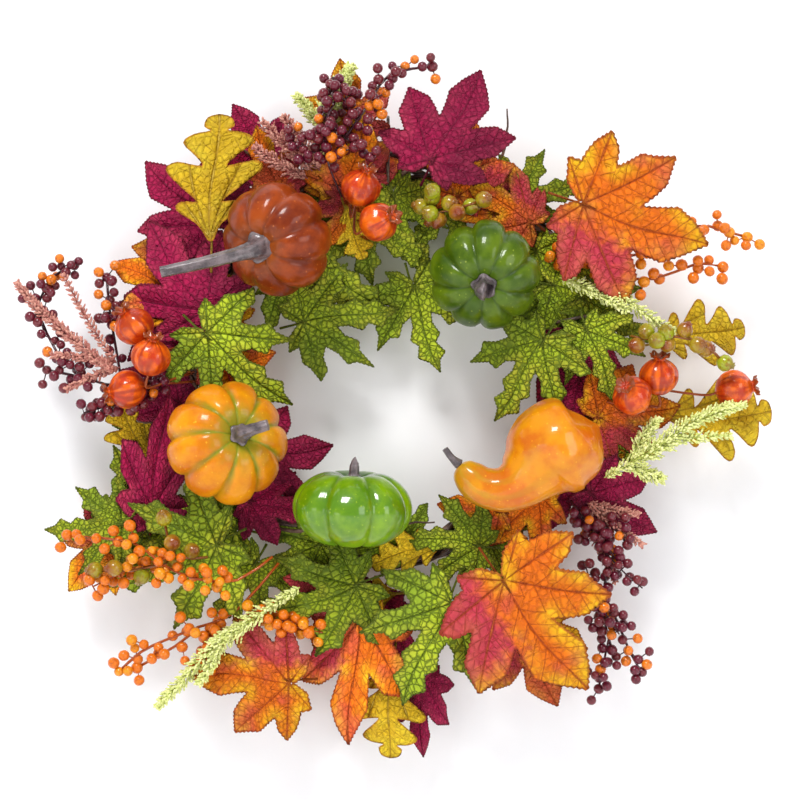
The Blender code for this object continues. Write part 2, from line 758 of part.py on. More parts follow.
def branch_berries(count, route, radius):
    """Berries set on a branch turn by turn, each pressed into it, and one on its end."""
    path = [Vector(p) for p in eased([tuple(spot(place)) for place in route], 8)]
    first = len(path) // 4
    berries = [ball_mesh(path[-1], radius)]
    for i in range(count - 1):
        at = first + round((len(path) - 1 - first) * i / (count - 0.4))
        ahead = (path[min(at + 1, len(path) - 1)] - path[at - 1]).normalized()
        side = ahead.cross(FORWARD).normalized()
        swing = Matrix.Rotation(math.radians(140.0 * i + 20.0), 3, ahead)
        berries.append(ball_mesh(path[at] + swing @ side * radius * 0.9, radius))
    return berries


def add_sprays(table):
    for name, (slot, radius, branches) in table.items():
        stems = [tube_mesh(route_rows(route, STEM_RADIUS), resolution=0) for _, route in branches]
        berries = []
        for count, route in branches:
            berries += branch_berries(count, route, radius)
        lay(name, united(stems, [joined(berries)]), spot(branches[0][1][0]), slot)


def add_seed_sprays():
    for name, (slot, route) in SEED_SPRAYS.items():
        rows = [(*spot(place), radius * MM) for place, radius in route]
        lay(name, tube_mesh(eased(rows, 3)), spot(route[0][0]), slot)


def main():
    clear_scene()
    add_ring()
    add_tie_wires()
    add_hanging_loop()
    add_leaves(BACK_LEAVES)
    add_leaves(MIDDLE_LEAVES)
    add_sprays(SPRAYS)
    add_pumpkins()
    add_crookneck()
    add_leaves(FRONT_LEAVES)
    add_pod_picks()
    add_seed_sprays()
    add_sprays(FRONT_SPRAYS)


main()
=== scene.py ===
"""Harvest door wreath: leaves, gourds, pods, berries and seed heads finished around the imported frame.

Metres, +Z up, and the door behind at +Y. A place on the wreath is given round the ring: an angle from +X,
a distance out from the ring's centre line and a distance forward of the ring's middle plane.
"""

import json
import math
from typing import NamedTuple

import bmesh
import bpy
import numpy as np
from bpy.props import FloatProperty, FloatVectorProperty, IntProperty, PointerProperty
from mathutils import Matrix, Vector, noise


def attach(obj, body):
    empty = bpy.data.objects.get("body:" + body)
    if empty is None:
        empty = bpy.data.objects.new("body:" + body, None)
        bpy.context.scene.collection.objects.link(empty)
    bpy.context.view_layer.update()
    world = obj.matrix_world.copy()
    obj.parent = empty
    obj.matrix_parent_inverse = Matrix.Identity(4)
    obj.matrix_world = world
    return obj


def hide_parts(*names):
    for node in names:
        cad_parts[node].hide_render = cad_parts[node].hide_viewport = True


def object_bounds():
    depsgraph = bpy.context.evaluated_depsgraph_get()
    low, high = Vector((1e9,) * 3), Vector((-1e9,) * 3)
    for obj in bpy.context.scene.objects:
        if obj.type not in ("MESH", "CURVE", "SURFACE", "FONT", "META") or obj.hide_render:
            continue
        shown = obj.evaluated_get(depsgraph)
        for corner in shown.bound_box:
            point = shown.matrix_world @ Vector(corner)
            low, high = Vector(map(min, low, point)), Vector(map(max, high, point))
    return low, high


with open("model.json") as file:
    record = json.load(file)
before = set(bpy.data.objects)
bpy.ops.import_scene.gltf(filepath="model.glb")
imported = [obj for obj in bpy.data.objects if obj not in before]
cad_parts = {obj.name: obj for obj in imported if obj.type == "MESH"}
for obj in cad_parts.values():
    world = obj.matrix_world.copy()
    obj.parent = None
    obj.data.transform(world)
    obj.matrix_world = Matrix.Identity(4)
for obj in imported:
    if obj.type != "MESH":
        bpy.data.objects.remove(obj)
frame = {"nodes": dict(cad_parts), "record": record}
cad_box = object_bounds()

bl_info = {
    "name": "Harvest Door Wreath",
    "version": (1, 0, 0),
    "blender": (4, 5, 0),
    "location": "3D View > Sidebar > Wreath",
    "description": "Makes the leaves, gourds, pods, berries and seed heads of a harvest door wreath",
    "category": "Add Mesh",
}

MM = 0.001
FORWARD = Vector((0.0, -1.0, 0.0))
UP = Vector((0.0, 0.0, 1.0))
WELD = 0.00002
FLAT = 0.9999
VINES = ("vine_1", "vine_2", "vine_3", "vine_4")
RING_BODY = "ring"
BODY_OF = {node: body for body, nodes in frame["record"]["behaviour"]["bodies"].items() for node in nodes}


# ---- What the frame says ----


def nodes_in_slot(ending):
    """The CAD nodes whose material slot ends so, each with its slot."""
    pairs = [(row["node"], row["material_slot"]) for row in frame["record"]["subparts"]]
    return [(node, slot) for node, slot in pairs if slot.endswith(ending)]


def corners(node):
    """The corners of a CAD node as rows, each once."""
    mesh = frame["nodes"][node].data
    flat = np.empty(len(mesh.vertices) * 3, np.float32)
    mesh.vertices.foreach_get("co", flat)
    return np.unique(np.round(flat.reshape(-1, 3).astype(float), 6), axis=0)


def ring_measures():
    """The ring's centre, its centre line's radius and the thickness of its bundle."""
    points = np.concatenate([corners(vine) for vine in VINES])
    centre = (points.min(axis=0) + points.max(axis=0)) / 2
    reach = np.hypot(points[:, 0] - centre[0], points[:, 2] - centre[2])
    return Vector(centre), (reach.max() + reach.min()) / 2, (reach.max() - reach.min()) / 2


RING_CENTRE, RING_RADIUS, BUNDLE_RADIUS = ring_measures()
DOOR_Y = cad_box[1].y


def spot(angle, out, forward):
    """The point at an angle round the ring, out from its centre line and forward of its middle, in mm."""
    turn = math.radians(angle)
    reach = RING_RADIUS + out * MM
    return RING_CENTRE + Vector((reach * math.cos(turn), -forward * MM, reach * math.sin(turn)))


def heading_axes(heading, pitch=0.0, roll=0.0):
    """Along, across and out of a piece that heads round the front, tips forward and rolls."""
    turn = math.radians(heading)
    along = Vector((math.cos(turn), 0.0, math.sin(turn)))
    across = FORWARD.cross(along)
    tip = Matrix.Rotation(math.radians(-pitch), 3, across)
    along = tip @ along
    spin = Matrix.Rotation(math.radians(roll), 3, along)
    return along, spin @ across, spin @ tip @ FORWARD


def merged(node):
    """A copy of a CAD node with its loose triangles joined."""
    bm = bmesh.new()
    bm.from_mesh(frame["nodes"][node].data)
    bmesh.ops.remove_doubles(bm, verts=bm.verts, dist=WELD)
    return bm


def flat_patches(bm):
    """The flat facets of a merged node, each a list of the triangles in one plane."""
    seen = set()
    patches = []
    for first in bm.faces:
        if first in seen:
            continue
        seen.add(first)
        patch = [first]
        for face in patch:
            for edge in face.edges:
                for other in edge.link_faces:
                    if other not in seen and other.normal.dot(first.normal) > FLAT:
                        seen.add(other)
                        patch.append(other)
        patches.append(patch)
    return patches


def cap_corners(patch):
    found = []
    for face in patch:
        found += [v for v in face.verts if v not in found]
    return found


def is_round(ring):
    """Whether corners lie on one circle, as a tube's end does."""
    centre = sum((v.co for v in ring), Vector()) / len(ring)
    reaches = [(v.co - centre).length for v in ring]
    return len(ring) > 4 and max(reaches) - min(reaches) < 0.03 * max(reaches)


def tube_rings(node):
    """The rings of a tube-shaped node from one flat end to the other, as (centre, radius)."""
    bm = merged(node)
    caps = [cap_corners(patch) for patch in flat_patches(bm)]
    ring = max((cap for cap in caps if is_round(cap)), key=len)
    seen = set(ring)
    rows = []
    while ring:
        centre = sum((v.co for v in ring), Vector()) / len(ring)
        rows.append((centre, sum((v.co - centre).length for v in ring) / len(ring)))
        following = []
        for vert in ring:
            for edge in vert.link_edges:
                other = edge.other_vert(vert)
                if other not in seen:
                    seen.add(other)
                    following.append(other)
        ring = following
    bm.free()
    return rows


def from_the_ring(rows):
    """Rings in order from the end that is nearer the middle of the wreath."""
    first, last = (rows[i][0] - RING_CENTRE for i in (0, -1))
    return rows if math.hypot(first.x, first.z) < math.hypot(last.x, last.z) else rows[::-1]


# ---- Making pieces ----


def eased(rows, steps):
    """Rows of numbers on a smooth curve through the given rows."""
    rows = np.array(rows, float)
    ends = np.concatenate([rows[:1], rows, rows[-1:]])
    found = []
    for a, b, c, d in zip(ends, ends[1:], ends[2:], ends[3:]):
        for t in np.arange(steps) / steps:
            square = (2 * a - 5 * b + 4 * c - d) * t**2
            cube = (3 * b - a - 3 * c + d) * t**3
            found.append(0.5 * (2 * b + (c - a) * t + square + cube))
    return np.array([*found, rows[-1]])


def tubes_mesh(routes, resolution):
    """Tubes through rows of x, y, z and radius, each a closed skin, as one mesh."""
    curve = bpy.data.curves.new("route", "CURVE")
    curve.dimensions = "3D"
    curve.bevel_depth = 1.0
    curve.bevel_resolution = resolution
    curve.use_fill_caps = True
    for rows in routes:
        spline = curve.splines.new("POLY")
        spline.points.add(len(rows) - 1)
        for point, (x, y, z, radius) in zip(spline.points, rows):
            point.co = (x, y, z, 1.0)
            point.radius = radius
    holder = bpy.data.objects.new("route", curve)
    bpy.context.scene.collection.objects.link(holder)
    mesh = bpy.data.meshes.new_from_object(holder)
    bpy.data.objects.remove(holder, do_unlink=True)
    bpy.data.curves.remove(curve)
    return mesh


def add_mesh(bm, mesh):
    """Adds a mesh that nothing else needs to a bmesh."""
    bm.from_mesh(mesh)
    bpy.data.meshes.remove(mesh)


def spun(profile, steps, dist):
    """A closed body turned round +Z from a profile of (reach, height), top and bottom on the axis."""
    bm = bmesh.new()
    chain = [bm.verts.new((reach, 0.0, height)) for reach, height in profile]
    edges = [bm.edges.new(pair) for pair in zip(chain, chain[1:])]
    geom = [*chain, *edges]
    bmesh.ops.spin(bm, geom=geom, axis=UP, cent=(0, 0, 0), angle=math.tau, steps=steps, use_merge=True)
    bmesh.ops.remove_doubles(bm, verts=bm.verts, dist=dist)
    return bm


def add_turned(bm, part, centre, axis, radius):
    """Adds a turned part of radius 1 to a bmesh: its +Z laid along an axis, at its real radius."""
    matrix = Matrix.Translation(centre) @ turned_to(axis).to_4x4() @ Matrix.Scale(radius, 4)
    bmesh.ops.transform(part, matrix=matrix, verts=part.verts)
    bmesh.ops.recalc_face_normals(part, faces=part.faces)
    mesh = bpy.data.meshes.new("part")
    part.to_mesh(mesh)
    part.free()
    add_mesh(bm, mesh)


def add_tubes(bm, routes, resolution=2):
    """Adds tubes to a bmesh and returns their corners."""
    before = len(bm.verts)
    add_mesh(bm, tubes_mesh(routes, resolution))
    bm.verts.ensure_lookup_table()
    verts = bm.verts[before:]
    bmesh.ops.remove_doubles(bm, verts=verts, dist=WELD)
    return [v for v in verts if v.is_valid]


def add_ball(bm, centre, radius, subdivisions, turn, stretch):
    """Adds one ball, turned and stretched along its own +Z, and returns its corners."""
    shape = turn.to_4x4() @ Matrix.Diagonal((1.0, 1.0, stretch, 1.0))
    matrix = Matrix.Translation(centre) @ shape
    made = bmesh.ops.create_icosphere(bm, subdivisions=subdivisions, radius=radius, matrix=matrix)
    return made["verts"]


def set_value(verts, layer, value):
    for vert in verts:
        vert[layer] = value


def finish_piece(name, bm, material, body, nodes=()):
    """Turns a bmesh into a finished piece that rides on a body and stands for its CAD nodes."""
    bmesh.ops.recalc_face_normals(bm, faces=bm.faces)
    mesh = bpy.data.meshes.new(name)
    bm.to_mesh(mesh)
    bm.free()
    mesh.materials.append(material)
    mesh.shade_smooth()
    piece = bpy.data.objects.new(name, mesh)
    bpy.context.scene.collection.objects.link(piece)
    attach(piece, body)
    if nodes:
        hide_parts(*nodes)


def chance(*keys):
    """A steady number from 0 to 1 for a place or a count."""
    x, y, z = (*keys, 0.0, 0.0)[:3]
    return math.modf(abs(math.sin(x * 12.9898 + y * 78.233 + z * 37.719 + 1.7)) * 43758.5453)[0]


def side_of(direction):
    """Two directions square to a given one."""
    reference = UP if abs(direction.dot(UP)) < 0.9 else Vector((1.0, 0.0, 0.0))
    first = direction.cross(reference).normalized()
    return first, direction.cross(first).normalized()


def turned_to(direction):
    """The rotation that turns +Z to a direction."""
    return UP.rotation_difference(direction).to_matrix()


# ---- Materials ----


class Graph:
    """Places and links shader nodes in one tree."""

    def __init__(self, tree):
        self.tree = tree

    def node(self, kind, inputs=None, **settings):
        made = self.tree.nodes.new(kind)
        for key, value in settings.items():
            setattr(made, key, value)
        for key, value in (inputs or {}).items():
            self.feed(made.inputs[key], value)
        return made

    def feed(self, socket, value):
        if isinstance(value, bpy.types.NodeSocket):
            self.tree.links.new(value, socket)
        else:
            socket.default_value = value

    def math(self, operation, a, b=0.0, c=0.0):
        return self.node("ShaderNodeMath", {0: a, 1: b, 2: c}, operation=operation).outputs[0]

    def band(self, value, low, high):
        """0 at low, 1 at high and smooth between them."""
        inputs = {"Value": value, "From Min": low, "From Max": high}
        return self.node("ShaderNodeMapRange", inputs, interpolation_type="SMOOTHSTEP").outputs["Result"]

    def blend(self, factor, a, b, mode="MIX"):
        inputs = {"Factor": factor, 6: a, 7: b}
        return self.node("ShaderNodeMix", inputs, data_type="RGBA", blend_type=mode).outputs[2]

    def noise(self, vector, scale, detail=4.0, roughness=0.55):
        inputs = {"Vector": vector, "Scale": scale, "Detail": detail, "Roughness": roughness}
        return self.node("ShaderNodeTexNoise", inputs).outputs[0]

    def cells(self, vector, scale, feature="DISTANCE_TO_EDGE"):
        inputs = {"Vector": vector, "Scale": scale}
        return self.node("ShaderNodeTexVoronoi", inputs, feature=feature).outputs["Distance"]

    def value(self, name):
        return self.node("ShaderNodeAttribute", attribute_name=name).outputs["Fac"]

    def uv(self, name):
        return self.node("ShaderNodeUVMap", uv_map=name).outputs[0]

    def place(self):
        return self.node("ShaderNodeTexCoord").outputs["Object"]

    def split(self, vector):
        return self.node("ShaderNodeSeparateXYZ", {0: vector}).outputs


def colour(rgb):
    return (*rgb, 1.0)


def new_group(name, inputs, outputs):
    """A shader node group with named sockets, and the graph inside it."""
    tree = bpy.data.node_groups.new(name, "ShaderNodeTree")
    for key, kind, default in inputs:
        socket = tree.interface.new_socket(key, in_out="INPUT", socket_type=kind)
        socket.default_value = default
    for key, kind in outputs:
        tree.interface.new_socket(key, in_out="OUTPUT", socket_type=kind)
    graph = Graph(tree)
    given = graph.node("NodeGroupInput").outputs
    result = graph.node("NodeGroupOutput").inputs
    return tree, graph, given, result


COLOR = "NodeSocketColor"
FLOAT = "NodeSocketFloat"
VECTOR = "NodeSocketVector"


def leaf_print_group():
    """Printed cloth of a leaf: ground colours, ribs, side veins, a net of cells and a dark edge."""
    tree, g, given, result = new_group(
        "leaf_print",
        [
            ("Ground", COLOR, (0.7, 0.2, 0.02, 1.0)),
            ("Tips", COLOR, (0.8, 0.5, 0.02, 1.0)),
            ("Patch", COLOR, (0.4, 0.02, 0.1, 1.0)),
            ("Patch Amount", FLOAT, 0.3),
            ("Vein", COLOR, (0.2, 0.05, 0.02, 1.0)),
            ("Vein Strength", FLOAT, 0.7),
            ("Net Strength", FLOAT, 0.5),
            ("Edge", COLOR, (0.3, 0.05, 0.02, 1.0)),
            ("Rib", COLOR, (0.6, 0.5, 0.2, 1.0)),
            ("Rib Strength", FLOAT, 0.5),
        ],
        [("Color", COLOR), ("Height", FLOAT), ("Roughness", FLOAT)],
    )
    flat = g.uv("UVMap")
    along, across, _ = g.split(g.uv("Ribs"))
    rim = g.value("rim")
    tone = g.value("tone")
    wide, deep, _ = g.split(flat)
    shifted = g.node("ShaderNodeCombineXYZ", {0: wide, 1: deep, 2: g.math("MULTIPLY", tone, 9.0)}).outputs[0]
    cloud = g.noise(shifted, 3.2, 5.0)
    streak = g.noise(shifted, 14.0, 4.0)
    tips = g.math("MULTIPLY", g.band(rim, 0.16, 0.0), g.band(cloud, 0.35, 0.62))
    ground = g.blend(tips, given["Ground"], given["Tips"])
    blotch = g.math("MULTIPLY", g.band(g.noise(shifted, 1.7, 3.0), 0.50, 0.60), 0.45)
    ragged = g.math("MULTIPLY_ADD", streak, 0.30, -0.15)
    one_side = g.band(g.math("ADD", deep, ragged), -0.05, -0.26)
    low_lobe = g.math("MULTIPLY", one_side, g.band(g.math("ADD", wide, ragged), 0.66, 0.34))
    patch = g.math("MULTIPLY", g.math("MAXIMUM", blotch, low_lobe), given["Patch Amount"])
    ground = g.blend(patch, ground, given["Patch"])
    shade = g.math("MULTIPLY_ADD", streak, 0.7, 0.62)
    tinted = g.math("MULTIPLY", shade, g.math("MULTIPLY_ADD", tone, 0.5, 0.75))
    grey = g.node("ShaderNodeCombineColor", {0: tinted, 1: tinted, 2: tinted}).outputs[0]
    ground = g.blend(1.0, ground, grey, "MULTIPLY")
    wobble = g.math("MULTIPLY_ADD", streak, 0.018, g.math("MULTIPLY", cloud, 0.02))
    main_rib = g.band(g.math("ADD", across, wobble), 0.034, 0.022)
    lane = g.math("MULTIPLY", g.math("SUBTRACT", along, g.math("MULTIPLY", across, 0.8)), 9.0)
    lane = g.math("ADD", lane, g.math("MULTIPLY", cloud, 0.8))
    wave = g.math("ABSOLUTE", g.math("SUBTRACT", g.math("FRACT", lane), 0.5))
    side_vein = g.band(wave, 0.06, 0.015)
    net = g.cells(shifted, 18.0)
    mesh_line = g.math("MULTIPLY", g.band(net, 0.13, 0.03), given["Net Strength"])
    veins = g.math("MAXIMUM", main_rib, g.math("MULTIPLY", side_vein, 0.75))
    veins = g.math("MULTIPLY", veins, given["Vein Strength"])
    veins = g.math("MAXIMUM", veins, mesh_line)
    inked = g.blend(veins, ground, given["Vein"])
    core = g.math("MULTIPLY", g.band(g.math("ADD", across, wobble), 0.022, 0.014), given["Rib Strength"])
    inked = g.blend(core, inked, given["Rib"])
    edge = g.math("MULTIPLY", g.band(rim, 0.020, 0.004), 0.75)
    g.feed(result["Color"], g.blend(edge, inked, given["Edge"]))
    pillow = g.band(net, 0.0, 0.22)
    low = g.math("MAXIMUM", main_rib, g.math("MULTIPLY", side_vein, 0.6))
    weave = g.math("MULTIPLY", g.noise(flat, 160.0, 2.0), 0.15)
    g.feed(result["Height"], g.math("ADD", g.math("SUBTRACT", pillow, g.math("MULTIPLY", low, 0.8)), weave))
    g.feed(result["Roughness"], g.math("MULTIPLY_ADD", streak, 0.25, 0.42))
    return tree


def mottle_group():
    """A surface that wanders between two colours, with fine specks and a soft unevenness."""
    tree, g, given, result = new_group(
        "mottle",
        [
            ("Place", VECTOR, (0.0, 0.0, 0.0)),
            ("Low", COLOR, (0.2, 0.2, 0.2, 1.0)),
            ("High", COLOR, (0.6, 0.6, 0.6, 1.0)),
            ("Speck", COLOR, (0.9, 0.9, 0.7, 1.0)),
            ("Speck Amount", FLOAT, 0.3),
            ("Scale", FLOAT, 40.0),
        ],
        [("Color", COLOR), ("Height", FLOAT), ("Roughness", FLOAT)],
    )
    broad = g.noise(given["Place"], given["Scale"], 5.0, 0.6)
    fine = g.noise(given["Place"], g.math("MULTIPLY", given["Scale"], 7.0), 3.0)
    ground = g.blend(g.band(broad, 0.36, 0.66), given["Low"], given["High"])
    spots = g.cells(given["Place"], g.math("MULTIPLY", given["Scale"], 6.0), "F1")
    speck = g.math("MULTIPLY", g.band(spots, 0.22, 0.10), given["Speck Amount"])
    speck = g.math("MULTIPLY", speck, g.band(fine, 0.45, 0.55))
    g.feed(result["Color"], g.blend(speck, ground, given["Speck"]))
    g.feed(result["Height"], g.math("MULTIPLY_ADD", fine, 0.5, broad))
    g.feed(result["Roughness"], g.math("MULTIPLY_ADD", fine, 0.25, 0.22))
    return tree


GROUPS = {}


def group(name):
    """One of the shared node groups, made the first time it is asked for."""
    if name not in GROUPS:
        GROUPS[name] = {"leaf_print": leaf_print_group, "mottle": mottle_group}[name]()
    return GROUPS[name]


def new_material(name, **sockets):
    """A material with values set on its shader's own sockets, and its graph and shader."""
    made = bpy.data.materials.new(name)
    made.use_nodes = True
    shader = made.node_tree.nodes["Principled BSDF"]
    for key, value in sockets.items():
        shader.inputs[key.replace("_", " ")].default_value = value
    return made, Graph(made.node_tree), shader.inputs


def bumped(g, inputs, height, strength, distance):
    bump = g.node("ShaderNodeBump", {"Height": height, "Strength": strength, "Distance": distance})
    g.feed(inputs["Normal"], bump.outputs[0])


def leaf_material(name, *values):
    """Printed cloth; the values go to the print's inputs in their order."""
    made, g, inputs = new_material(name, Specular_IOR_Level=0.14)
    ink = g.node("ShaderNodeGroup", node_tree=group("leaf_print"))
    for socket, value in zip(ink.inputs, values):
        socket.default_value = colour(value) if isinstance(value, tuple) else value
    g.feed(inputs["Base Color"], ink.outputs["Color"])
    g.feed(inputs["Roughness"], ink.outputs["Roughness"])
    bumped(g, inputs, ink.outputs["Height"], 0.9, 0.0012)
    return made


def mottle(g, low, high, speck, speck_amount, scale):
    """The mottle group placed in a material on Object coordinates."""
    inputs = {"Place": g.place(), "Low": colour(low), "High": colour(high), "Speck": colour(speck)}
    inputs |= {"Speck Amount": speck_amount, "Scale": scale}
    return g.node("ShaderNodeGroup", inputs, node_tree=group("mottle"))


def mottled_material(name, low, high, speck, speck_amount, scale, coat=0.0, bump=0.25):
    """A mottled finish on Object coordinates, for stalks, twigs and wires."""
    made, g, inputs = new_material(name, Coat_Weight=coat, Coat_Roughness=0.2, Specular_IOR_Level=0.25)
    skin = mottle(g, low, high, speck, speck_amount, scale)
    g.feed(inputs["Base Color"], skin.outputs["Color"])
    g.feed(inputs["Roughness"], skin.outputs["Roughness"])
    bumped(g, inputs, skin.outputs["Height"], bump, 0.0008)
    return made


def gourd_material(name, low, high, speck, groove, groove_amount, crown, crown_amount, coat, scale=38.0):
    """A ribbed skin: mottled ground, another colour in the grooves and round the stalk."""
    made, g, inputs = new_material(name, Coat_Weight=coat, Coat_Roughness=0.08, Specular_IOR_Level=0.12)
    skin = mottle(g, low, high, speck, 0.55, scale)
    ragged = g.math("MULTIPLY_ADD", g.noise(g.place(), 90.0), 0.5, -0.25)
    in_groove = g.band(g.math("ADD", g.value("groove"), ragged), 0.45, 0.95)
    towards_stalk = g.band(g.value("crown"), 0.02, 0.35)
    in_groove = g.math("MULTIPLY", in_groove, g.math("MULTIPLY_ADD", towards_stalk, 0.65, 0.35))
    in_groove = g.math("MULTIPLY", in_groove, groove_amount)
    ground = g.blend(in_groove, skin.outputs["Color"], colour(groove))
    near_stalk = g.math("ADD", g.value("crown"), g.math("MULTIPLY", ragged, 1.2))
    near_stalk = g.math("MULTIPLY", g.band(near_stalk, 0.25, 0.9), crown_amount)
    g.feed(inputs["Base Color"], g.blend(near_stalk, ground, colour(crown)))
    g.feed(inputs["Roughness"], skin.outputs["Roughness"])
    bumped(g, inputs, skin.outputs["Height"], 0.30, 0.0009)
    return made


def bead_material(name, first, second, dark, coat, roughness_low):
    """Lacquered beads: each bead's tint runs from the first colour to the second, darker at its tip."""
    made, g, inputs = new_material(name, Coat_Weight=coat, Coat_Roughness=0.08, Specular_IOR_Level=0.15)
    ground = g.blend(g.value("tint"), colour(first), colour(second))
    cloud = g.noise(g.place(), 420.0, 3.0)
    ground = g.blend(g.math("MULTIPLY", g.band(cloud, 0.48, 0.70), 0.55), ground, colour(dark))
    ground = g.blend(g.value("cap"), ground, colour(dark))
    g.feed(inputs["Base Color"], ground)
    g.feed(inputs["Roughness"], g.math("MULTIPLY_ADD", cloud, 0.25, roughness_low))
    bumped(g, inputs, cloud, 0.15, 0.0004)
    return made


# ---- Leaves ----

STALK_SHARE = 0.26
TOOTH_PITCH = 0.036
LEAF_GRID = 0.03
RIB_HALF = 0.012


def polar(angle, reach):
    turn = math.radians(angle)
    return Vector((reach * math.cos(turn), reach * math.sin(turn)))


# One half of each outline from the tip to the stalk, in shares of the leaf's length:
# (angle off the midrib, reach)
STALK_FOOT = Vector((-0.02, 0.012))
MAPLE_EDGE = [
    polar(*row)
    for row in (
        (0, 1.0), (9, 0.84), (17, 0.72), (18, 0.60), (21, 0.44), (28, 0.56), (33, 0.66), (46, 0.80),
        (54, 0.66), (60, 0.60), (64, 0.45), (68, 0.38), (76, 0.50), (86, 0.58), (97, 0.46), (104, 0.38),
        (112, 0.30), (128, 0.34), (150, 0.20), (175, 0.06),
    )
]
JAGGED_EDGE = [
    polar(*row)
    for row in (
        (0, 1.0), (4, 0.86), (11, 0.80), (8, 0.66), (16, 0.60), (14, 0.45), (20, 0.34), (30, 0.44),
        (29, 0.58), (38, 0.62), (43, 0.82), (49, 0.66), (57, 0.62), (56, 0.48), (63, 0.34), (76, 0.42),
        (78, 0.56), (88, 0.64), (96, 0.48), (106, 0.42), (115, 0.26), (132, 0.34), (150, 0.22), (175, 0.06),
    )
]
# The same for the rounded lobes of the oak: (along, across)
OAK_EDGE = [
    Vector(row)
    for row in eased(
        (
            (1.0, 0.0), (0.97, 0.09), (0.90, 0.12), (0.86, 0.07), (0.84, 0.20), (0.78, 0.28), (0.66, 0.16),
            (0.58, 0.10), (0.62, 0.30), (0.56, 0.38), (0.42, 0.24), (0.30, 0.10), (0.30, 0.22), (0.24, 0.26),
            (0.12, 0.10), (0.0, 0.03),
        ),
        3,
    )
]


class LeafShape(NamedTuple):
    """An outline, where each rib ends, the height of its fine teeth and half the width of a CAD leaf."""

    edge: list
    tips: tuple
    tooth: float
    half_width: float


MAPLE = LeafShape(MAPLE_EDGE, ((0, 1.0), (46, 0.80), (86, 0.58), (128, 0.34)), 0.010, 0.54)
JAGGED = LeafShape(JAGGED_EDGE, ((0, 1.0), (43, 0.82), (88, 0.64), (132, 0.34)), 0.008, 0.54)
OAK = LeafShape(OAK_EDGE, ((0, 1.0), (19, 0.82), (34, 0.66), (47, 0.34)), 0.0, 0.32)
LEAF_SHAPES = {"orange_leaf": MAPLE, "burgundy_leaf": MAPLE, "green_leaf": JAGGED, "yellow_leaf": OAK}


def half_outline(shape):
    """The outline of one half from the tip to the stalk, with fine teeth that lean towards the tip."""
    points = [*shape.edge, STALK_FOOT]
    found = []
    for a, b in zip(points, points[1:]):
        run = b - a
        side = Vector((run.y, -run.x)).normalized() * shape.tooth
        teeth = int(run.length / TOOTH_PITCH) if shape.tooth else 0
        found.append(a)
        for k in range(teeth):
            found.append(a + run * (k + 0.35) / teeth + side)
            if k < teeth - 1:
                found.append(a + run * (k + 1) / teeth)
    return [*found, points[-1]]


def rim_distance(points, outline):
    """The distance of each point from a closed outline."""
    nearest = np.full(len(points), 9.0)
    for a, b in zip(outline, np.roll(outline, -1, axis=0)):
        run = b - a
        share = np.clip(((points - a) @ run) / (run @ run), 0.0, 1.0)
        nearest = np.minimum(nearest, np.linalg.norm(points - (a + share[:, None] * run), axis=1))
    return nearest


def cut(bm, place, normal):
    """Cuts a flat leaf along one line."""
    geom = [*bm.verts, *bm.edges, *bm.faces]
    bmesh.ops.bisect_plane(bm, geom=geom, dist=1e-5, plane_co=(*place, 0.0), plane_no=(*normal, 0.0))


def leaf_template(shape):
    """A flat leaf of length 1 with a fine grid, its print coordinates and its distance from the edge."""
    half = half_outline(shape)
    outline = half + [Vector((p.x, -p.y)) for p in reversed(half[1:])]
    bm = bmesh.new()
    verts = [bm.verts.new((p.x, p.y, 0.0)) for p in outline]
    bm.faces.new(verts)
    for angle, _ in shape.tips:
        for side in (1, -1):
            rib = polar(angle * side, 1.0)
            for offset in (-RIB_HALF, 0.0, RIB_HALF):
                cut(bm, Vector((-rib.y, rib.x)) * offset, (-rib.y, rib.x))
    low, high = (f(p.y for p in outline) for f in (min, max))
    for i in range(1, int(1.1 / LEAF_GRID)):
        cut(bm, (-0.1 + i * LEAF_GRID, 0.0), (1.0, 0.0))
    for i in range(int((high - low) / LEAF_GRID) + 1):
        cut(bm, (0.0, low + (i + 0.5) * LEAF_GRID), (0.0, 1.0))
    bmesh.ops.triangulate(bm, faces=bm.faces)
    flat_uv = bm.loops.layers.uv.new("UVMap")
    rib_uv = bm.loops.layers.uv.new("Ribs")
    for face in bm.faces:
        middle = face.calc_center_median().xy
        for loop in face.loops:
            point = loop.vert.co.xy
            upper = Vector((point.x, abs(point.y)))
            loop[flat_uv].uv = point
            loop[rib_uv].uv = rib_coordinates(shape.tips, Vector((middle.x, abs(middle.y))), upper)
    mesh = bpy.data.meshes.new("leaf_template")
    bm.to_mesh(mesh)
    bm.free()
    points = np.array([v.co[:2] for v in mesh.vertices])
    rim = rim_distance(points, np.array([tuple(p) for p in outline]))
    return mesh, points, rim


def rib_coordinates(tips, middle, point):
    """A corner's place along and off the rib that its face lies nearest to."""
    best = min(tips, key=lambda row: rib_gap(row, middle))
    rib = polar(best[0], 1.0)
    return Vector((point.dot(rib), abs(point.x * rib.y - point.y * rib.x)))


def rib_gap(row, point):
    rib = polar(row[0], row[1])
    share = max(0.0, min(1.0, point.dot(rib) / rib.dot(rib)))
    return (point - rib * share).length


def rib_relief(shape, points):
    """Ridges along the ribs and soft pillows between them, in shares of the leaf's length."""
    folded = np.column_stack([points[:, 0], np.abs(points[:, 1])])
    nearest = np.full(len(points), 9.0)
    for row in shape.tips:
        rib = np.array(polar(*row))
        share = np.clip((folded @ rib) / (rib @ rib), 0.0, 1.0)
        nearest = np.minimum(nearest, np.linalg.norm(folded - share[:, None] * rib, axis=1))
    ridge = 0.014 * np.exp(-((nearest / RIB_HALF) ** 2))
    return 0.022 * (1 - np.exp(-((nearest / 0.07) ** 2))) - ridge


TEMPLATES = {}


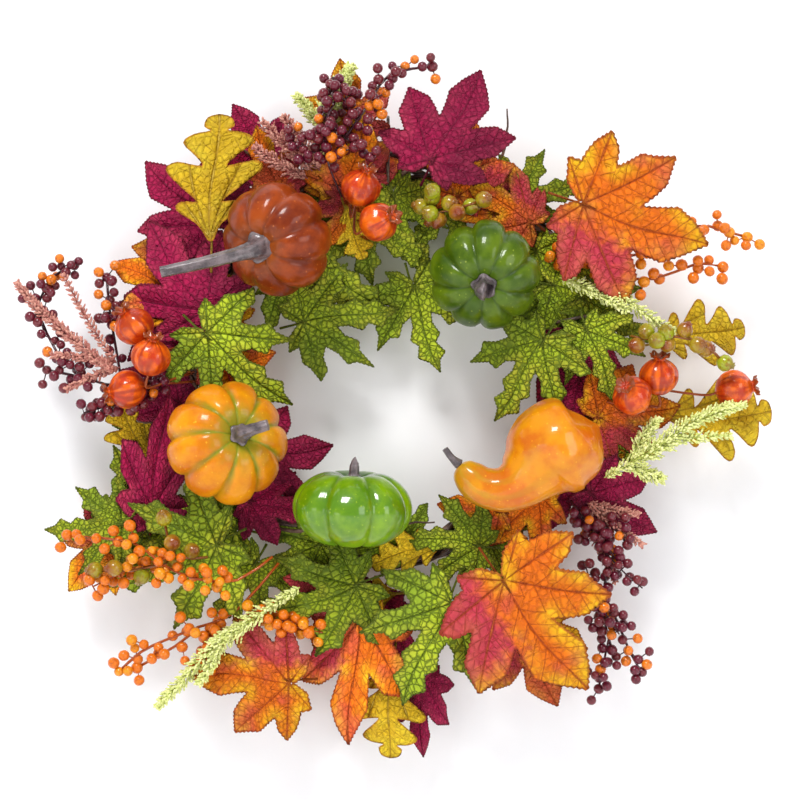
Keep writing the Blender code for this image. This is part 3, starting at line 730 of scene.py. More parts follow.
def template(slot):
    """The flat leaf for a slot and its relief, made the first time it is asked for."""
    if slot not in TEMPLATES:
        mesh, points, rim = leaf_template(LEAF_SHAPES[slot])
        TEMPLATES[slot] = (mesh, points, rim, rib_relief(LEAF_SHAPES[slot], points))
    return TEMPLATES[slot]


def leaf_bed(node, slot):
    """A CAD leaf's base, axes, length, width, the fit of its bent surface and its stalk's end."""
    points = corners(node)
    gaps = np.linalg.norm(points[:, None] - points[None], axis=2)
    ends = np.unravel_index(gaps.argmax(), gaps.shape)
    stalk, tip = sorted(ends, key=lambda end: -(gaps[end] < 4 * MM).sum())
    stalk_end = points[gaps[stalk] < 4 * MM].mean(axis=0)
    tip_end = points[gaps[tip] < 2 * MM].mean(axis=0)
    mesh = frame["nodes"][node].data
    out = sum((p.normal * p.area for p in mesh.polygons if p.normal.y < 0), Vector()).normalized()
    run = Vector(tip_end - stalk_end)
    along = (run - run.dot(out) * out).normalized()
    length = run.dot(along) / (1 + STALK_SHARE)
    across = out.cross(along)
    base = Vector(stalk_end) + along * length * STALK_SHARE
    local = (points - np.array(base)) / length
    s, t, h = (local @ np.array(axis) for axis in (along, across, out))
    blade = s > -0.2
    terms = surface_terms(s[blade], t[blade])
    fit = np.linalg.lstsq(terms, h[blade], rcond=None)[0]
    width = np.abs(t).max() / LEAF_SHAPES[slot].half_width
    return base, (along, across, out), length, width, fit, Vector(stalk_end)


def surface_terms(s, t):
    return np.column_stack([np.ones_like(s), s, t, s * s, np.abs(t), s * t])


def leaf_bmesh(slot, bed, tone, curl, thickness):
    """A finished leaf on its bed: bent, curled at its edges, ribbed, given its thickness and its stalk."""
    base, axes, length, width, fit, stalk_end = bed
    mesh, points, rim, relief = template(slot)
    s, t = points[:, 0], points[:, 1] * width
    height = surface_terms(s, t) @ fit + relief
    ripple = np.sin(9.0 * s + 20.0 * tone) * np.cos(7.0 * t + 12.0 * tone)
    edge = np.exp(-((rim / 0.10) ** 2))
    height += curl * (0.6 * ripple * edge + (s**2 + 1.6 * t**2) * (tone - 0.35))
    frame_axes = np.array([tuple(axis) for axis in axes])
    lean = t + 0.03 * np.sin(5 * s + 9 * tone)
    local = np.column_stack([s + 0.16 * t * (tone - 0.5), lean, height])
    places = np.array(base) + length * (local @ frame_axes)
    bm = bmesh.new()
    bm.from_mesh(mesh)
    rim_layer = bm.verts.layers.float.new("rim")
    tone_layer = bm.verts.layers.float.new("tone")
    for vert, place, distance in zip(bm.verts, places, rim):
        vert.co = place
        vert[rim_layer] = distance
        vert[tone_layer] = tone
    bmesh.ops.solidify(bm, geom=bm.faces[:], thickness=thickness)
    foot = base + axes[2] * fit[0] * length
    middle = (foot + stalk_end) / 2 + axes[2] * 0.002
    inner = foot + axes[0] * length * 0.10 - axes[2] * 0.0008
    rows = eased([(*stalk_end, 0.0011), (*middle, 0.0009), (*foot, 0.0009), (*inner, 0.0005)], 4)
    stalk = add_tubes(bm, [rows])
    set_value(stalk, rim_layer, 0.012)
    set_value(stalk, tone_layer, tone)
    return bm


# Leaves under and between the large ones: slot, angle, out, forward, heading, length, pitch, roll
FILLER_LEAVES = [
    ("burgundy_leaf", 122, 26, 16, 120, 58, 4, 10),
    ("orange_leaf", 100, 28, 18, 95, 60, 6, 0),
    ("orange_leaf", 104, -16, 24, 76, 64, 6, 8),
    ("orange_leaf", 123, 8, 22, 110, 52, 4, -8),
    ("orange_leaf", 66, -12, 22, 80, 62, 4, -8),
    ("orange_leaf", 54, -10, 20, 100, 54, 2, 6),
    ("orange_leaf", 44, 4, 24, 150, 56, 4, 6),
    ("orange_leaf", 163, 24, 20, 152, 56, 0, 8),
    ("orange_leaf", 152, 14, 18, 168, 58, 0, -6),
    ("burgundy_leaf", 172, 10, 18, 160, 64, 0, 8),
    ("yellow_leaf", 152, 10, 24, 282, 66, 0, 6),
    ("orange_leaf", 168, -8, 20, 290, 62, -2, 6),
    ("green_leaf", 112, -20, 18, 262, 58, 0, 8),
    ("orange_leaf", 102, -24, 26, 240, 46, 2, -6),
    ("yellow_leaf", 106, -28, 28, 290, 44, 0, 8),
    ("green_leaf", 88, -24, 20, 286, 62, -4, 8),
    ("green_leaf", 70, -14, 14, 240, 60, -2, 6),
    ("green_leaf", 50, 8, 16, 20, 62, 0, 8),
    ("green_leaf", 36, -8, 16, 300, 60, -2, 10),
    ("green_leaf", 24, -10, 20, 350, 62, 0, 8),
    ("green_leaf", 16, 10, 20, 332, 64, 0, -10),
    ("green_leaf", 20, -16, 16, 250, 58, -4, 6),
    ("burgundy_leaf", 6, -8, 18, 290, 66, 0, -12),
    ("burgundy_leaf", 354, 0, 22, 262, 54, 0, 8),
    ("orange_leaf", 348, 6, 16, 300, 62, -2, 6),
    ("green_leaf", 336, 6, 16, 346, 62, -2, 8),
    ("burgundy_leaf", 330, 16, 16, 250, 60, -4, 6),
    ("orange_leaf", 318, 6, 22, 230, 56, -2, 6),
    ("orange_leaf", 306, -2, 20, 172, 50, -2, 6),
    ("green_leaf", 300, 6, 16, 286, 64, -4, 4),
    ("orange_leaf", 297, 84, 22, 292, 72, -4, 6),
    ("yellow_leaf", 286, 0, 22, 196, 58, -2, -8),
    ("green_leaf", 276, -8, 16, 150, 54, -2, 8),
    ("yellow_leaf", 272, 34, 20, 184, 62, -2, 6),
    ("burgundy_leaf", 268, 40, 18, 250, 66, -4, 8),
    ("orange_leaf", 256, 30, 18, 262, 64, -2, -8),
    ("green_leaf", 250, 4, 18, 210, 62, -2, 6),
    ("green_leaf", 237, 40, 18, 236, 60, -2, -8),
    ("green_leaf", 228, 28, 20, 168, 78, 0, 8),
    ("green_leaf", 218, 64, 20, 200, 62, 0, 6),
    ("green_leaf", 214, 80, 24, 112, 66, 2, 8),
    ("yellow_leaf", 204, 52, 18, 118, 60, 2, 6),
    ("green_leaf", 200, 18, 16, 176, 60, 0, 6),
    ("burgundy_leaf", 216, -18, 22, 8, 66, 0, 8),
    ("burgundy_leaf", 226, 4, 20, 346, 52, 0, -8),
    ("burgundy_leaf", 192, 16, 16, 150, 56, 0, 8),
    ("orange_leaf", 182, -10, 16, 10, 54, 0, -6),
    ("green_leaf", 100, -34, 20, 320, 74, -4, 6),
    ("green_leaf", 128, -40, 18, 322, 86, -2, 8),
    ("green_leaf", 142, -46, 16, 344, 72, -2, -6),
]


def filler_bed(row):
    """A bed for a small leaf that has no CAD node."""
    _, angle, out, forward, heading, length, pitch, roll = row
    axes = heading_axes(heading, pitch, roll)
    base = spot(angle, out, forward)
    fit = np.array([0.0, 0.0, 0.0, -0.08, -0.16, 0.0])
    stalk_end = base - axes[0] * length * MM * STALK_SHARE - axes[2] * 0.006
    return base, axes, length * MM, 1.0, fit, stalk_end


# ---- Gourds ----

PUMPKIN_ROWS = 44
STEPS_PER_RIB = 14
STALK_SIDES = 36
GOURD_SIDES = 56
GOURD_RIBS = 9


def pumpkin_measures(node):
    """Centre, axis towards the stalk, radius and half height of a CAD pumpkin."""
    points = corners(node)
    middle = points.mean(axis=0)
    spread, axes = np.linalg.eigh(np.cov((points - middle).T))
    odd = 0 if spread[1] - spread[0] > spread[2] - spread[1] else 2
    axis = axes[:, odd]
    stalk = corners(node + "_stem").mean(axis=0) - middle
    axis = axis if stalk @ axis > 0 else -axis
    heights = (points - middle) @ axis
    centre = middle + axis * (heights.max() + heights.min()) / 2
    reach = np.linalg.norm((points - centre) - np.outer((points - centre) @ axis, axis), axis=1)
    return Vector(centre), Vector(axis), reach.max(), (heights.max() - heights.min()) / 2


def pumpkin_bmesh(node, ribs, groove_depth, phase):
    """A turned body with rounded ribs of slightly different widths, dimpled at both ends."""
    centre, axis, radius, half_height = pumpkin_measures(node)
    profile = []
    for i in range(PUMPKIN_ROWS + 1):
        angle = math.pi * i / PUMPKIN_ROWS
        dimple = 1.0 - 0.26 * math.exp(-((math.sin(angle) / 0.30) ** 2))
        profile.append((radius * math.sin(angle) ** 0.92, 1.13 * half_height * math.cos(angle) * dimple))
    bm = spun(profile, ribs * STEPS_PER_RIB, WELD)
    groove = bm.verts.layers.float.new("groove")
    crown = bm.verts.layers.float.new("crown")
    for vert in bm.verts:
        x, y, z = vert.co
        turn = (math.atan2(y, x) / math.tau * ribs + phase) % ribs
        rib = math.floor(turn)
        share = abs(turn - rib - 0.5) * 2
        swell = 1.0 + 0.04 * (chance(rib, ribs) - 0.5)
        depth = groove_depth * share**3.2
        flank = math.hypot(x, y) / radius
        scale = swell * (1 - depth * min(1.0, flank * 1.6 + 0.15))
        bulge = 1.0 + 0.02 * noise.noise(Vector((x, y, z)) * 34)
        vert.co = Vector((x * scale * bulge, y * scale * bulge, z * (1 - 0.35 * depth)))
        vert[groove] = share**2
        vert[crown] = max(0.0, 1.0 - flank) if z > 0 else 0.0
    matrix = Matrix.Translation(centre) @ turned_to(axis).to_4x4()
    bmesh.ops.transform(bm, matrix=matrix, verts=bm.verts)
    return bm


def loft(rows, sides):
    """A skin through rings given as (centre, radius), extruded ring by ring and closed at both ends."""
    bm = bmesh.new()
    along = bm.verts.layers.float.new("along")
    around = bm.verts.layers.float.new("around")
    direction = (rows[1][0] - rows[0][0]).normalized()
    turn = turned_to(direction)
    placed = Matrix.Translation(rows[0][0]) @ turn.to_4x4() @ Matrix.Scale(rows[0][1], 4)
    made = bmesh.ops.create_circle(bm, cap_ends=False, radius=1.0, segments=sides, matrix=placed)
    ring = made["verts"]
    for k, vert in enumerate(ring):
        vert[around] = k
    edges = bm.edges[:]
    for i in range(1, len(rows)):
        ahead = rows[min(i + 1, len(rows) - 1)][0] - rows[i - 1][0]
        if ahead.length > 1e-9:
            bend = direction.rotation_difference(ahead.normalized())
            direction = ahead.normalized()
            turn = bend.to_matrix() @ turn
        following = Matrix.Translation(rows[i][0]) @ turn.to_4x4() @ Matrix.Scale(rows[i][1], 4)
        grown = bmesh.ops.extrude_edge_only(bm, edges=edges)["geom"]
        ring = [g for g in grown if isinstance(g, bmesh.types.BMVert)]
        edges = [g for g in grown if isinstance(g, bmesh.types.BMEdge)]
        bmesh.ops.transform(bm, matrix=following @ placed.inverted(), verts=ring)
        set_value(ring, along, i / (len(rows) - 1))
        placed = following
    bmesh.ops.holes_fill(bm, edges=bm.edges, sides=sides)
    return bm, along, around


def smooth_rings(rows, steps):
    """Rings on a smooth line through the given ones."""
    found = eased([(*centre, radius) for centre, radius in rows], steps)
    return [(Vector(row[:3]), max(float(row[3]), 0.0002)) for row in found]


def stalk_bmesh(node, flutes, depth, flare):
    """A fluted dry stalk that flares at its foot, with a rough cut end."""
    rows = tube_rings(node)
    if rows[0][1] < rows[-1][1]:
        rows = rows[::-1]
    rows = smooth_rings(rows, 4)
    bm, along, around = loft(rows, STALK_SIDES)
    for vert in bm.verts:
        centre, _ = rows[round(vert[along] * (len(rows) - 1))]
        spoke = vert.co - centre
        wave = math.cos(math.tau * flutes * vert[around] / STALK_SIDES)
        rough = noise.noise(vert.co * 260) * 0.06 + noise.noise(vert.co * 90) * 0.10
        flared = 1.0 + flare * math.exp(-vert[along] * 9)
        vert.co = centre + spoke * flared * (1 + depth * wave + rough)
    return bm


def crookneck_bmesh(node):
    """A smooth gourd with a swollen end, a bent neck and faint bumps along its length."""
    rows = tube_rings(node)
    if rows[len(rows) // 4][1] < rows[-len(rows) // 4][1]:
        rows = rows[::-1]
    rows = smooth_rings(rows, 5)
    bm, along, around = loft(rows, GOURD_SIDES)
    crown = bm.verts.layers.float.new("crown")
    groove = bm.verts.layers.float.new("groove")
    for vert in bm.verts:
        centre, _ = rows[round(vert[along] * (len(rows) - 1))]
        spoke = vert.co - centre
        wave = math.cos(math.tau * GOURD_RIBS * vert[around] / GOURD_SIDES)
        warts = 0.022 * noise.noise(vert.co * 75) + 0.012 * noise.noise(vert.co * 190)
        vert.co = centre + spoke * (1 + 0.012 * wave + warts)
        vert[crown] = min(1.0, max(0.0, 1.3 * vert[along] - 0.45))
        vert[groove] = 0.5 + 0.5 * wave
    return bm


# Ribs, where the first one lies, the slot, then the skin: low, high and speck colours, the grooves'
# colour and amount, the crown's colour and amount, and the varnish
PUMPKINS = {
    "rust_pumpkin": (
        8, 0.2, "rust_skin", (0.14, 0.016, 0.002), (0.31, 0.048, 0.004), (0.56, 0.15, 0.02),
        (0.12, 0.018, 0.006), 0.6, (0.30, 0.09, 0.01), 0.4, 0.3,
    ),
    "green_pumpkin": (
        9, 0.5, "dark_green_skin", (0.032, 0.070, 0.001), (0.095, 0.155, 0.004), (0.32, 0.38, 0.03),
        (0.022, 0.055, 0.004), 0.7, (0.10, 0.18, 0.012), 0.4, 0.35,
    ),
    "gold_pumpkin": (
        9, 0.0, "gold_skin", (0.55, 0.145, 0.002), (0.69, 0.265, 0.003), (0.88, 0.50, 0.03),
        (0.17, 0.21, 0.01), 0.85, (0.22, 0.24, 0.012), 0.9, 0.3,
    ),
    "lime_pumpkin": (
        7, 0.3, "lime_skin", (0.08, 0.20, 0.001), (0.19, 0.34, 0.002), (0.36, 0.50, 0.02),
        (0.03, 0.11, 0.002), 0.6, (0.012, 0.06, 0.003), 0.9, 1.0,
    ),
}
CROOKNECK_LOOKS = (
    (0.56, 0.12, 0.002), (0.68, 0.25, 0.003), (0.84, 0.42, 0.02), (0.34, 0.24, 0.006), 0.3,
    (0.36, 0.28, 0.008), 0.55, 0.6,
)


# ---- Pods, berries and seed heads ----

POD_PICKS = ("pod_pick_left", "pod_pick_top", "pod_pick_right")
POD_RADIUS = 0.0150
POD_CLEARANCE = 0.030
# A CAD pod's crown ends in an eight-sided flat of this radius, this far from its centre, for a radius of 1
POD_FLAT_RADIUS = 0.48
POD_FLAT_HEIGHT = 1.30
# A CAD bead is an icosahedron: its side, and the depth of its centre below a face, for a radius of 1
BEAD_SIDE = 1.0515
BEAD_DEPTH = 0.7947
BURGUNDY_RADIUS = 0.0040
ORANGE_RADIUS = 0.0043
HIP_RADIUS = 0.0068
BEAD_STRETCH = 1.06
STEM_CAP = 0.85
PLUME_BRANCHLETS = 6
GRAIN = 0.0008
GRAIN_STRETCH = 1.8


def pod_axes(node):
    """The centre and crown direction of each pod, found from the flat end of its crown."""
    bm = merged(node)
    wanted = 2 * math.sqrt(2) * (POD_FLAT_RADIUS * POD_RADIUS) ** 2
    found = []
    for patch in flat_patches(bm):
        area = sum(face.calc_area() for face in patch)
        if abs(area - wanted) < 0.06 * wanted and len(patch) >= 4:
            ring = cap_corners(patch)
            crown = sum((v.co for v in ring), Vector()) / len(ring)
            found.append((crown - patch[0].normal * POD_FLAT_HEIGHT * POD_RADIUS, patch[0].normal.copy()))
    bm.free()
    return found


# The profiles of a pod and of a hip from the stem to the blossom end: (reach, height), for a radius of 1
POD_PROFILE = [
    (0.0, -1.0), (0.16, -0.97), (0.50, -0.85), (0.83, -0.55), (1.0, -0.1), (0.94, 0.35), (0.70, 0.68),
    (0.44, 0.86), (0.30, 0.94), (0.32, 1.04), (0.44, 1.20), (0.52, 1.30), (0.34, 1.22), (0.20, 1.08),
    (0.0, 1.05),
]
HIP_PROFILE = [
    (0.0, -1.05), (0.20, -0.98), (0.58, -0.80), (0.92, -0.40), (1.0, 0.1), (0.78, 0.6), (0.44, 0.9),
    (0.30, 0.98), (0.34, 1.16), (0.18, 1.14), (0.0, 1.02),
]
PROFILE_WELD = 1e-4


def add_pod(bm, centre, axis, radius):
    """A round pod with a crown of pointed flaps at its blossom end."""
    fine = [(max(reach, 0.0), height) for reach, height in eased(POD_PROFILE, 3)]
    part = spun(fine, 40, PROFILE_WELD)
    crown = part.verts.layers.float.new("crown")
    groove = part.verts.layers.float.new("groove")
    for vert in part.verts:
        turn = math.atan2(vert.co.y, vert.co.x)
        sample = Vector((9 * math.cos(turn), 9 * math.sin(turn), vert.co.z)) + centre * 90
        streak = noise.noise(sample)
        vert[groove] = min(1.0, max(0.0, 0.62 + 1.1 * streak))
        flap = max(0.0, (vert.co.z - 1.0) / 0.3)
        lobe = 0.5 + 0.5 * math.cos(6 * turn)
        vert.co.z -= 0.22 * flap * (1 - lobe)
        body = 1 + 0.03 * math.cos(6 * turn) * (1 - min(1.0, flap * 3)) + 0.04 * flap * lobe
        vert.co.x *= body
        vert.co.y *= body
        vert[crown] = min(1.0, flap * 1.5)
    add_turned(bm, part, centre, axis, radius)


def pod_stalk(top, axis):
    """A wire from the ring to the back of a pod."""
    spoke = top - RING_CENTRE
    foot = RING_CENTRE + Vector((spoke.x, 0.0, spoke.z)).normalized() * RING_RADIUS + FORWARD * 0.010
    elbow = top - axis * 0.012
    middle = (foot + elbow) / 2 + FORWARD * 0.004
    return eased([(*place, 0.0011) for place in (foot, middle, elbow, top)], 5)


def berry_centres(bm, radius):
    """Centres of the balls on a CAD spray, each voted for by its whole triangles."""
    side = BEAD_SIDE * radius
    votes = []
    for face in bm.faces:
        lengths = [edge.calc_length() for edge in face.edges]
        if all(abs(length - side) < 0.01 * side for length in lengths):
            votes.append(face.calc_center_median() - face.normal * BEAD_DEPTH * radius)
    centres = []
    for vote in votes:
        if all((vote - centre).length > 0.3 * radius for centre in centres):
            centres.append(vote)
    return centres


def strip_balls(bm, centres, radius):
    """Takes the balls off a CAD spray and closes the stems that are left."""
    on_ball = [v for v in bm.verts if any(abs((v.co - c).length - radius) < 0.02 * radius for c in centres)]
    bmesh.ops.delete(bm, geom=on_ball, context="VERTS")
    bmesh.ops.holes_fill(bm, edges=bm.edges, sides=0)
    bmesh.ops.triangulate(bm, faces=bm.faces)


def extra_places(centres, radius, count, reach, key, pods):
    """Places for more berries round the given ones, clear of each other and of the pods."""
    taken = list(centres)
    pairs = []
    for i, centre in enumerate(centres):
        for k in range(count):
            turn = math.tau * chance(i, k, key)
            lift = 0.15 + 0.75 * chance(i, k + 7, key)
            reached = reach * radius * (0.85 + 0.5 * chance(i, k + 13, key))
            spread = math.sqrt(1 - lift * lift)
            spoke = Vector((spread * math.cos(turn), -lift * 0.7, spread * math.sin(turn)))
            place = centre + spoke * reached
            apart = all((place - other).length > 1.75 * radius for other in taken)
            if apart and all((place - pod).length > POD_CLEARANCE for pod in pods):
                taken.append(place)
                pairs.append((centre, place))
    return pairs


def tint_layers(bm):
    """The layers of a bead's tint and of the dark cap at its tip."""
    return [bm.verts.layers.float.new(name) for name in ("tint", "cap")]


def bare_spray(node, radius):
    """A CAD spray without its balls, the centres of those balls and the two layers."""
    bm = merged(node)
    centres = berry_centres(bm, radius)
    strip_balls(bm, centres, radius)
    layers = tint_layers(bm)
    set_value(bm.verts, layers[1], STEM_CAP)
    return bm, centres, layers


def bead_spray_bmesh(node, radius, extra, reach, second_share, key, pods):
    """A wire spray: its stems from the frame, its beads, and more beads on short wires between them."""
    bm, centres, layers = bare_spray(node, radius)
    pairs = extra_places(centres, radius, extra, reach, key, pods)
    if pairs:
        sag = Vector((0.0, 0.001, 0.0))
        routes = [[(*place, 0.0005) for place in (a, (a + b) / 2 + sag, b)] for a, b in pairs]
        set_value(add_tubes(bm, routes, 0), layers[1], STEM_CAP)
    add_beads(bm, centres + [b for _, b in pairs], radius, second_share, key, layers)
    return bm


def add_hip(bm, centre, axis, radius, shade):
    """A rounded hip with a star-shaped collar at its end."""
    part = spun(HIP_PROFILE, 15, PROFILE_WELD)
    tint, cap = tint_layers(part)
    for vert in part.verts:
        if vert.co.z > 1.1:
            turn = math.atan2(vert.co.y, vert.co.x)
            vert.co.xy *= 1.0 + 0.5 * math.cos(5 * turn)
        vert[tint] = shade
        vert[cap] = min(0.9, max(0.0, (vert.co.z - 0.35) * 1.6)) * (0.5 + 0.5 * shade)
    add_turned(bm, part, centre, axis, radius)


def hip_spray_bmesh(node, radius, key):
    """A spray of hips that look outwards from their stems."""
    bm, centres, _ = bare_spray(node, radius)
    middle = sum(centres, Vector()) / len(centres)
    for i, centre in enumerate(centres):
        side = (centre - middle).normalized()
        lean = Vector((chance(i, key) - 0.5, -0.9, chance(i, key, 5) - 0.5))
        add_hip(bm, centre, (side + lean).normalized(), radius * 0.98, chance(i, key, 2))
    return bm


def plume_bmesh(rows, key):
    """A flocked stem with short branchlets that lean forward, each set with grains."""
    bm = bmesh.new()
    tint, cap = tint_layers(bm)
    rows = smooth_rings(rows, 5)
    twigs = [[(*centre, max(0.0006, 0.16 * radius)) for centre, radius in rows]]
    grains = []
    for i in range(1, len(rows) - 1):
        centre, radius = rows[i]
        ahead = (rows[i + 1][0] - rows[i - 1][0]).normalized()
        first, second = side_of(ahead)
        for k in range(PLUME_BRANCHLETS):
            turn = math.tau * (k + chance(i, k, key)) / PLUME_BRANCHLETS
            spoke = first * math.cos(turn) + second * math.sin(turn)
            reach = (radius + 0.0012) * (0.7 + 0.7 * chance(i, k, key + 2))
            lean = (spoke + ahead * (0.6 + 0.9 * chance(i, k, key + 5))).normalized()
            tip = centre + lean * reach * 1.25
            twigs.append([(*centre, 0.0003), (*tip, 0.0002)])
            for share in (0.55, 0.8, 1.0):
                side = spoke.cross(lean) * (chance(i, k, key + share) - 0.5) * 0.0028
                grains.append((centre.lerp(tip, share) + side, lean, chance(i, k, key + 4 + share)))
    add_tubes(bm, twigs, 0)
    set_value(bm.verts, cap, 0.25)
    for place, lean, shade in grains:
        ball = add_ball(bm, place, GRAIN * (0.8 + 0.5 * shade), 1, turned_to(lean), GRAIN_STRETCH)
        set_value(ball, tint, shade)
    return bm


def sprig_rows(row):
    """The points and radii of a bent sprig that leaves the wreath at a place round its ring."""
    angle, out, forward, heading, length, bend, thick = row
    start = spot(angle, out, forward)
    along, across, _ = heading_axes(heading, 6)
    shares = (0.0, 0.25, 0.5, 0.75, 1.0)
    swell = (0.4, 1.0, 0.9, 0.7, 0.3)
    step = length * MM
    places = [start + (along * t + across * bend * t * t) * step for t in shares]
    return [(place, thick * MM * w) for place, w in zip(places, swell)]


def bead_sprig_bmesh(row, radius, second_share, key):
    """Beads on both sides of a bent wire."""
    bm = bmesh.new()
    layers = tint_layers(bm)
    rows = smooth_rings(sprig_rows(row), 4)
    wires = [[(*centre, 0.0006) for centre, _ in rows]]
    places = []
    for i in range(1, len(rows)):
        centre = rows[i][0]
        ahead = (centre - rows[i - 1][0]).normalized()
        first, second = side_of(ahead)
        for k in range(2):
            turn = math.pi * k + 2.4 * i + chance(i, k, key)
            spoke = first * math.cos(turn) + second * math.sin(turn)
            place = centre + spoke * radius * (1.1 + 0.9 * chance(i, k, key + 1))
            if all((place - other).length > 1.7 * radius for other in places):
                places.append(place)
                wires.append([(*centre, 0.0005), (*place, 0.0005)])
    set_value(add_tubes(bm, wires, 0), layers[1], STEM_CAP)
    add_beads(bm, places, radius, second_share, key, layers)
    return bm


def add_beads(bm, places, radius, second_share, key, layers):
    """A lacquered bead at each place; the second share of them take the second tint."""
    tint, cap = layers
    for i, place in enumerate(places):
        size = radius * (0.88 + 0.24 * chance(i, key, 3))
        turn = turned_to(Vector((chance(i, 1) - 0.5, chance(i, 2) - 0.5, chance(i, 3) - 0.5)).normalized())
        ball = add_ball(bm, place, size, 2, turn, BEAD_STRETCH)
        second = chance(i, key, 11) < second_share
        set_value(ball, tint, 1.0 if second else 0.06 * chance(i, key, 12))
        tip = max(ball, key=lambda v: (v.co - place).dot(place - RING_CENTRE))
        tip[cap] = 0.9


# More plumes and bead sprigs beside the frame's, under the slot and the node that they move with:
# angle, out, forward, heading, length, bend and thickness
PLUME_SPRIGS = {
    ("pink_seed_spray", "pink_seed"): [
        (181, 60, 36, 126, 80, -0.10, 2.4),
        (181, 60, 34, 168, 50, 0.10, 2.4),
        (182, 58, 32, 196, 44, 0.12, 2.2),
    ],
    ("vine_1", "pink_seed"): [
        (110, 4, 30, 118, 50, 0.10, 5.0),
        (112, 6, 30, 136, 54, 0.00, 5.0),
        (114, 2, 30, 156, 48, -0.10, 4.4),
        (324, 42, 26, 316, 54, 0.12, 3.0),
        (324, 42, 26, 342, 40, 0.10, 2.8),
        (323, 44, 24, 286, 62, 0.08, 3.0),
    ],
    ("vine_1", "pale_seed"): [
        (25, -4, 36, 342, 58, -0.16, 4.6),
        (18, 30, 36, 316, 62, 0.14, 4.2),
        (103, 36, 26, 78, 48, -0.12, 3.4),
        (106, 34, 26, 122, 34, 0.10, 4.0),
    ],
    ("pale_seed_spray_right", "pale_seed"): [
        (340, 58, 54, 22, 66, -0.22, 3.6),
        (338, 52, 50, 62, 34, -0.10, 4.4),
        (336, 50, 50, 330, 30, 0.10, 4.4),
    ],
    ("pale_seed_spray_bottom", "pale_seed"): [
        (243, 80, 44, 196, 34, 0.14, 3.2),
        (240, 104, 44, 246, 36, -0.12, 3.0),
    ],
}
BEAD_SPRIGS = {
    ("vine_1", "burgundy_berry"): [
        (186, 22, 32, 206, 36, 0.1, 4.0),
        (176, 34, 30, 140, 44, 0.2, 4.0),
        (190, 60, 28, 186, 30, 0.1, 4.0),
        (320, 36, 30, 330, 46, -0.3, 4.0),
        (320, 50, 28, 300, 66, 0.2, 4.0),
        (314, 70, 26, 284, 62, 0.2, 4.0),
        (102, 12, 36, 70, 44, 0.3, 4.0),
        (106, 22, 38, 96, 50, -0.2, 4.0),
    ],
    ("vine_1", "orange_berry"): [
        (33, -2, 22, 348, 56, 0.1, 4.3),
        (30, 8, 20, 6, 50, -0.1, 4.3),
        (243, 70, 30, 330, 52, 0.2, 4.3),
        (238, 92, 30, 240, 40, 0.1, 4.3),
        (222, 80, 42, 196, 60, 0.1, 4.3),
    ],
}


def sprigs(table):
    """Each sprig of a table in its order: its number from 0, its node, its slot and its row."""
    rows = [(node, slot, row) for (node, slot), group_rows in table.items() for row in group_rows]
    return [(key, *row) for key, row in enumerate(rows)]


# ---- Ring and wires ----

TWIG_STEPS = 110
TWIG_TAPER = 14
STRAY_STEPS = 12


def twig_routes(vine, count, turns, key):
    """Thin twigs that keep to one strand of the twist, each with its own wander and thickness."""
    routes = []
    for k in range(count):
        phase = math.tau * (vine / len(VINES) + 0.09 * (chance(k, key) - 0.5) * len(VINES))
        lay = BUNDLE_RADIUS * (0.30 + 0.52 * chance(k, key, 1))
        thick = (1.3 + 1.9 * chance(k, key, 2)) * MM
        start = 360 * chance(k, key, 3)
        span = 250 + 100 * chance(k, key, 4)
        rows = []
        for i in range(TWIG_STEPS + 1):
            angle = start + span * i / TWIG_STEPS
            twist = turns * math.radians(angle) + phase
            sway = 1 + 0.12 * noise.noise(Vector((angle / 14, k, key)))
            out = lay * sway * math.cos(twist) / MM
            forward = lay * sway * math.sin(twist) / MM
            taper = min(1.0, (i + 4) / TWIG_TAPER, (TWIG_STEPS - i + 4) / TWIG_TAPER)
            knot = 1 + 0.16 * noise.noise(Vector((angle / 3.1, k * 5, key)))
            rows.append((*spot(angle, out, forward), thick * taper * knot))
        routes.append(rows)
    return routes


# Bare twig ends that leave the ring: angle, out and heading, with their length in mm
STRAY_TWIGS = [
    (212, 6, 250, 62), (196, -4, 190, 58), (262, -10, 20, 60), (172, 24, 100, 70),
    (60, 16, 80, 54), (340, 16, 320, 60), (300, 14, 290, 54), (120, 16, 140, 58), (20, -12, 160, 46),
]


def stray_route(row, key):
    """A bare twig that wanders a little on its way out of the ring and thins to its end."""
    angle, out, heading, length = row
    start = spot(angle, out, 8)
    along, across, forward = heading_axes(heading, 12)
    rows = []
    for i in range(STRAY_STEPS + 1):
        share = i / STRAY_STEPS
        bend = across * 0.16 * length * MM * math.sin(2.2 * share + key)
        wander = across * noise.noise(Vector((share * 4, key, 0))) * 0.003
        place = start + along * length * MM * share + bend * share + wander + forward * 0.008 * share
        rows.append((*place, (1.5 - 0.9 * share) * MM))
    return rows


def wire_bmesh(node):
    """A CAD wire made round and smooth."""
    bm = merged(node)
    bmesh.ops.subdivide_edges(bm, edges=bm.edges, cuts=1, smooth=0.6, use_grid_fill=True)
    return bm


# ---- Settings ----


def share_setting(name, description, default):
    return FloatProperty(name=name, description=description, default=default)


def tint_setting(name, description, default):
    return FloatVectorProperty(name=name, description=description, subtype="COLOR", default=default)


def length_setting(name, description, default, **limits):
    return FloatProperty(name=name, description=description, default=default, unit="LENGTH", **limits)


class LeafSettings(bpy.types.PropertyGroup):
    thickness: length_setting("Cloth", "Thickness of the cloth", 0.0005, min=0.0001)
    curl: share_setting("Curl", "How much the edges curl, as a share of the length", 0.05)
    orange: tint_setting("Orange", "Ground of the orange leaves", (0.74, 0.15, 0.006))
    burgundy: tint_setting("Burgundy", "Ground of the burgundy leaves", (0.34, 0.008, 0.060))
    green: tint_setting("Green", "Ground of the green leaves", (0.33, 0.42, 0.018))
    yellow: tint_setting("Yellow", "Ground of the yellow leaves", (0.72, 0.45, 0.014))


